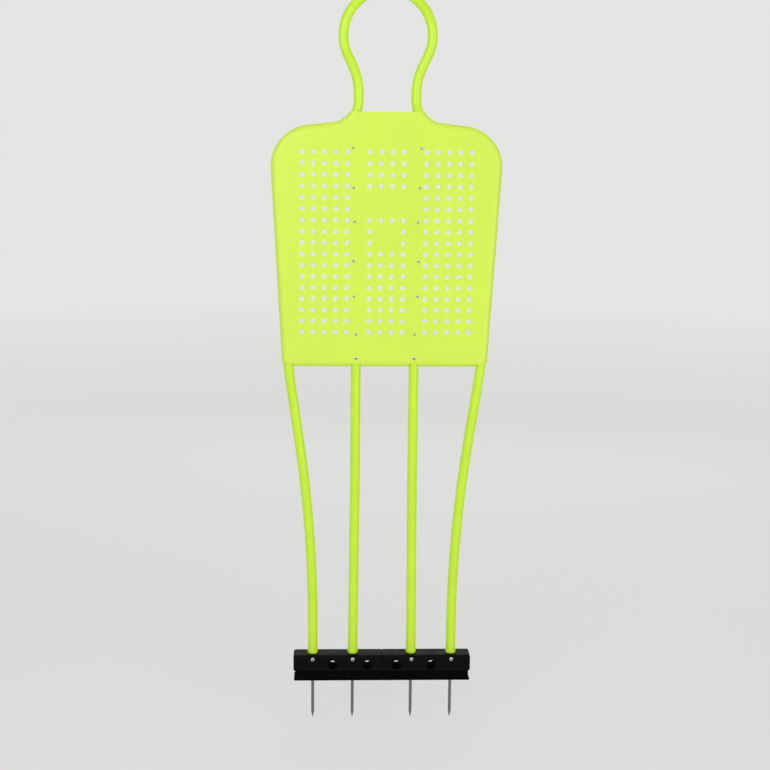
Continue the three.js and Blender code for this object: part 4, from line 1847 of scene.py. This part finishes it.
    def slab(self, half_length: float, half_depth: float, low: float, high: float, x: float = 0.0) -> Skin:
        """A low block with rounded upright corners and broken edges.

        Args:
            half_length: Half of its length along the bar.
            half_depth: Half of its depth.
            low: Its underside.
            high: Its top.
            x: Its middle along the bar.

        Returns:
            The closed skin.
        """
        levels = (
            (low, self.sole_break),
            (low + self.sole_break, 0.0),
            (high - self.sole_break, 0.0),
            (high, self.sole_break),
        )
        sections = []
        for height, inset in levels:
            corner = min(self.sole_corner, half_length / 2) - inset / 2
            outline = rounded_outline(
                half_length - inset, inset - half_depth, half_depth - inset, corner, corner, self.arc_steps
            )
            sections.append([Vector((x + across, depth, height)) for across, depth in outline])
        return lofted(sections)

    def stepped_hole(self, mouth: float, shoulder: float, beyond: float) -> Skin:
        """The cutter of a hole through the sole that changes its radius at a shoulder.

        Args:
            mouth: The radius under the shoulder.
            shoulder: The shoulder's height.
            beyond: The radius over the shoulder.

        Returns:
            The cutter, about the Z axis.
        """
        return turned([
            (-self.recess_depth, mouth + self.bush_break),
            (0.0, mouth + self.bush_break),
            (self.bush_break, mouth),
            (shoulder, mouth),
            (shoulder, beyond),
            (self.sole_top + self.recess_depth, beyond),
        ], self.sole_hole_sides)

    def sole_mesh(self) -> bpy.types.Mesh:
        """The sole, with its lip, ribs, bush holes and screw recesses."""
        inside = self.sole_set_back
        bar = self.slab(self.half_length - inside, self.half_depth - inside, 0.0, self.sole_top)
        mesh = bar.mesh("sole_bar")
        lip = self.lip_set_back
        mesh = joined(mesh, self.slab(self.half_length - lip, self.half_depth - lip, 0.0, self.lip_height))
        ribs = Skin()
        for x in (0.0, *self.feet.values()):
            ribs.add(self.slab(self.rib_width / 2, self.half_depth - lip, 0.0, self.sole_top, x))
        mesh = joined(mesh, ribs)
        seat = self.sole_top - self.flange_height - 2 * self.flange_gap
        bush_hole = self.stepped_hole(self.bush_hole_radius, seat, self.bush_seat_radius)
        screw_hole = self.stepped_hole(self.recess_radius, self.recess_depth, self.sole_screw_hole_radius)
        holes = Skin()
        for hole, places in ((bush_hole, self.feet), (screw_hole, self.sole_screws)):
            for x in places.values():
                holes.add(hole, moved(x))
        return cut(mesh, holes)

    def bush_mesh(self) -> bpy.types.Mesh:
        """A flanged bush, whose lower rim shows round its spike."""
        low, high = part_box(f"spike_bush_{Foot.INNER_LEFT.value}")
        rim = [
            (self.bush_bore + self.bush_break, low.z),
            (self.bush_radius - self.bush_break, low.z),
            (self.bush_radius, low.z + self.bush_break),
            (self.bush_radius, high.z - self.flange_height),
            (self.flange_radius, high.z - self.flange_height),
            (self.flange_radius, high.z),
            (self.bush_bore, high.z),
            (self.bush_bore, low.z + self.bush_break),
        ]
        skin = Skin()
        rings = [
            skin.ring(Vector((x, y, height)) for x, y in circle(radius, self.sole_hole_sides))
            for radius, height in rim
        ]
        skin.bridge_all([*rings, rings[0]])
        return skin.mesh("threaded_bush")

    def build(self, fitter: Fitter) -> None:
        """Make the base's pieces."""
        for side in Side:
            name = f"block_{side.word}"
            fitter.fit(name, self.block_mesh(side), Slot.BASE_PLASTIC, [f"base_{name}"])
        fitter.fit("sole_bar", self.sole_mesh(), Slot.SOLE_PLASTIC, ["sole"])
        fitter.dress([f"tube_plug_{foot.value}" for foot in Foot], Slot.BASE_PLASTIC)
        foot_bolt = self.foot_screw.mesh("foot_screw")
        sole_bolt = self.sole_screw.mesh("sole_screw")
        bush = self.bush_mesh()
        for order, foot in enumerate(Foot):
            seat = Vector((self.feet[foot], -self.half_depth, self.foot_screw_height))
            under = moved(self.sole_screws[foot], self.recess_depth - self.screw_seat_gap)
            turned_home = Matrix.Rotation(GOLDEN_TURN * order, 4, "Z")
            fittings = (
                ("foot_bolt", "foot_screw", foot_bolt, facing_front(seat, order)),
                ("sole_bolt", "sole_screw", sole_bolt, under @ UPSIDE_DOWN @ turned_home),
                ("threaded_bush", "spike_bush", bush, moved(self.feet[foot])),
            )
            for name, node, mesh, place in fittings:
                stands_for = [f"{node}_{foot.value}"]
                fitter.fit(f"{name}_{foot.value}", mesh, Slot.ZINC_STEEL, stands_for, place=place)


@dataclass
class GroundSpikes:
    """The four screw-in spikes, each on a body of its own."""

    radius: float = 0.004
    tip_length: float = 0.016
    tip_radius: float = 0.0006
    collar_across: float = 0.0104
    collar_height: float = 0.005
    collar_break: float = 0.0006
    under_sole: float = 0.0003
    shank_radius: float = 0.0035
    thread_pitch: float = 0.00125
    thread_core: float = 0.003
    thread_steps: int = 8
    half_flat: float = math.pi / 6
    sides: int = 48

    @property
    def flat_radius(self) -> float:
        """The collar's radius at the middle of a flat."""
        return self.collar_across / 2 * math.cos(self.half_flat)

    def hexagon(self, height: float, turned_radius: float) -> Level:
        """A ring of the spanner collar, whose corners are turned down to a radius."""

        def reach(turn: float) -> float:
            """The radius at an angle."""
            off_flat = (turn + self.half_flat) % (2 * self.half_flat) - self.half_flat
            return min(self.flat_radius / math.cos(off_flat), turned_radius)

        return height, reach

    def mesh(self) -> bpy.types.Mesh:
        """One spike, with the underside of the sole at its origin."""
        low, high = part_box(f"spike_{Foot.INNER_LEFT.value}")
        corner = self.collar_across / 2
        top = -self.under_sole
        foot = top - self.collar_height
        levels: list[Level] = [
            (low.z, 0.0),
            (low.z + self.tip_radius / 2, self.tip_radius / 2),
            (low.z + self.tip_length, self.radius - self.tip_radius / 4),
            (low.z + self.tip_length + self.tip_radius, self.radius),
            (foot, self.radius),
            self.hexagon(foot, self.flat_radius),
            self.hexagon(foot + self.collar_break, corner),
            self.hexagon(top - self.collar_break, corner),
            self.hexagon(top, self.flat_radius),
            (top, self.shank_radius),
        ]
        thread = Thread(self.thread_core, self.shank_radius, self.thread_pitch, self.thread_steps)
        levels += thread.levels(top + self.under_sole, high.z - self.thread_pitch / 2)
        levels.append((high.z, self.thread_core - self.tip_radius))
        return turned(levels, self.sides).mesh("ground_spike")

    def build(self, fitter: Fitter) -> None:
        """Make the spikes."""
        mesh = self.mesh()
        for foot in Foot:
            node = f"spike_{foot.value}"
            place = moved(middle_of(node).x)
            fitter.fit(f"ground_{node}", mesh, Slot.SPIKE_STEEL, [node], Body(node), place)


@dataclass(frozen=True)
class Lamp:
    """A soft rectangular lamp.

    Attributes:
        name: The lamp's name.
        place: Where it stands.
        size: Its width and height.
        power: Its power in watts.
    """

    name: str
    place: tuple[float, float, float]
    size: tuple[float, float]
    power: float

    def stand(self, aim: Sequence[float]) -> None:
        """Set the lamp up, aimed at a point."""
        light = bpy.data.lights.new(self.name, "AREA")
        light.shape = "RECTANGLE"
        light.size, light.size_y = self.size
        light.energy = self.power
        lamp = bpy.data.objects.new(self.name, light)
        bpy.context.scene.collection.objects.link(lamp)
        lamp.location = self.place
        lamp.rotation_euler = (Vector(aim) - Vector(self.place)).to_track_quat("-Z", "Y").to_euler()


@dataclass
class Studio:
    """A plain pale floor under soft lamps, and the camera where the photograph was taken from."""

    lamps: tuple[Lamp, ...] = (
        Lamp("key_lamp", (-1.6, -3.4, 2.2), (1.6, 2.0), 51.0),
        Lamp("fill_lamp", (2.4, -3.0, 1.1), (1.6, 2.2), 33.0),
        Lamp("back_lamp", (0.6, 3.4, 2.2), (3.6, 2.8), 30.0),
        Lamp("top_lamp", (0.0, -1.4, 4.2), (2.4, 2.0), 6.0),
    )
    aim: tuple[float, float, float] = (0.0, 0.0, 0.95)
    floor_half: float = 40.0
    spike_travel: float = 0.0215
    floor_colour: Colour = (0.8, 0.8, 0.79)
    background: Colour = (0.78, 0.78, 0.77)
    floor_glow: float = 0.65
    sky_strength: float = 0.6
    near_fade: float = 1.5
    far_fade: float = 9.0
    camera_place: tuple[float, float, float] = (-0.1586, -3.8084, 1.4884)
    camera_turn: float = math.radians(-2.404)
    camera_pitch: float = math.radians(10.324)
    camera_roll: float = math.radians(0.614)
    lens: float = 70.04
    sensor: float = 36.0

    def floor(self) -> None:
        """The floor, under the lowest that the spikes' points reach, which fades into the background."""
        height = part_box(f"spike_{Foot.INNER_LEFT.value}")[0].z - self.spike_travel
        skin = Skin()
        half = self.floor_half
        corners = ((-half, -half), (half, -half), (half, half), (-half, half))
        skin.cap(skin.ring(Vector((x, y, height)) for x, y in corners))
        mesh = bpy.data.meshes.new("studio_floor")
        mesh.from_pydata(skin.points, [], skin.faces)
        material = bpy.data.materials.new("studio_floor")
        material.use_nodes = True
        material.node_tree.nodes.clear()
        bench = Bench(material.node_tree)
        paper = bench.add("ShaderNodeBsdfDiffuse", {"Color": (*self.floor_colour, 1.0)})
        haze = bench.add("ShaderNodeEmission", {"Color": (*self.background, 1.0), "Strength": 1.0})
        position = bench.add("ShaderNodeNewGeometry").outputs["Position"]
        away = bench.add("ShaderNodeVectorMath", {0: position}, operation="LENGTH")
        fade = bench.spread(away.outputs["Value"], self.near_fade, self.far_fade, self.floor_glow, 1.0)
        share = bench.math("MULTIPLY", self.seen_directly(bench), fade)
        blend = bench.add("ShaderNodeMixShader", {0: share, 1: paper.outputs[0], 2: haze.outputs[0]})
        bench.add("ShaderNodeOutputMaterial", {0: blend.outputs[0]})
        mesh.materials.append(material)
        floor = bpy.data.objects.new("studio_floor", mesh)
        bpy.context.scene.collection.objects.link(floor)

    @staticmethod
    def seen_directly(bench: Bench) -> bpy.types.NodeSocket:
        """One for what the camera sees, also in a reflection or through glass, and zero for light."""
        rays = bench.add("ShaderNodeLightPath").outputs
        mirrored = bench.math("ADD", rays["Is Glossy Ray"], rays["Is Transmission Ray"])
        return bench.math("MINIMUM", bench.math("ADD", rays["Is Camera Ray"], mirrored), 1.0)

    def sky(self) -> None:
        """An even light from all round, seen as the plain background."""
        world = bpy.data.worlds.new("studio")
        world.use_nodes = True
        bpy.context.scene.world = world
        world.node_tree.nodes.clear()
        bench = Bench(world.node_tree)
        light = bench.add("ShaderNodeBackground", {"Strength": self.sky_strength})
        seen = bench.add("ShaderNodeBackground", {"Color": (*self.background, 1.0)})
        share = self.seen_directly(bench)
        blend = bench.add("ShaderNodeMixShader", {0: share, 1: light.outputs[0], 2: seen.outputs[0]})
        bench.add("ShaderNodeOutputWorld", {0: blend.outputs[0]})

    def camera(self) -> None:
        """The camera, at the photograph's viewing angle."""
        lens = bpy.data.cameras.new("photo_camera")
        lens.lens = self.lens
        lens.sensor_width = self.sensor
        camera = bpy.data.objects.new("photo_camera", lens)
        bpy.context.scene.collection.objects.link(camera)
        place = Matrix.Translation(self.camera_place) @ Matrix.Rotation(self.camera_turn, 4, "Z")
        tilt = Matrix.Rotation(math.pi / 2 - self.camera_pitch, 4, "X")
        camera.matrix_world = place @ tilt @ Matrix.Rotation(self.camera_roll, 4, "Z")
        bpy.context.scene.camera = camera

    def build(self) -> None:
        """Set up the floor, the light and the camera."""
        self.floor()
        self.sky()
        for lamp in self.lamps:
            lamp.stand(self.aim)
        self.camera()
        bpy.context.scene.view_settings.view_transform = "Standard"


def main() -> None:
    """Build the mannequin and its studio."""
    logging.basicConfig(level=logging.INFO, format="%(message)s")
    Studio().build()
    fitter = Fitter(Finishes())
    tubes = TubeFrame()
    sheet = TorsoSheet(tubes)
    tubes.build(fitter, sheet.screw_places(), sheet.inside)
    sheet.build(fitter)
    BaseBar().build(fitter)
    GroundSpikes().build(fitter)


if __name__ == "__main__":
    main()
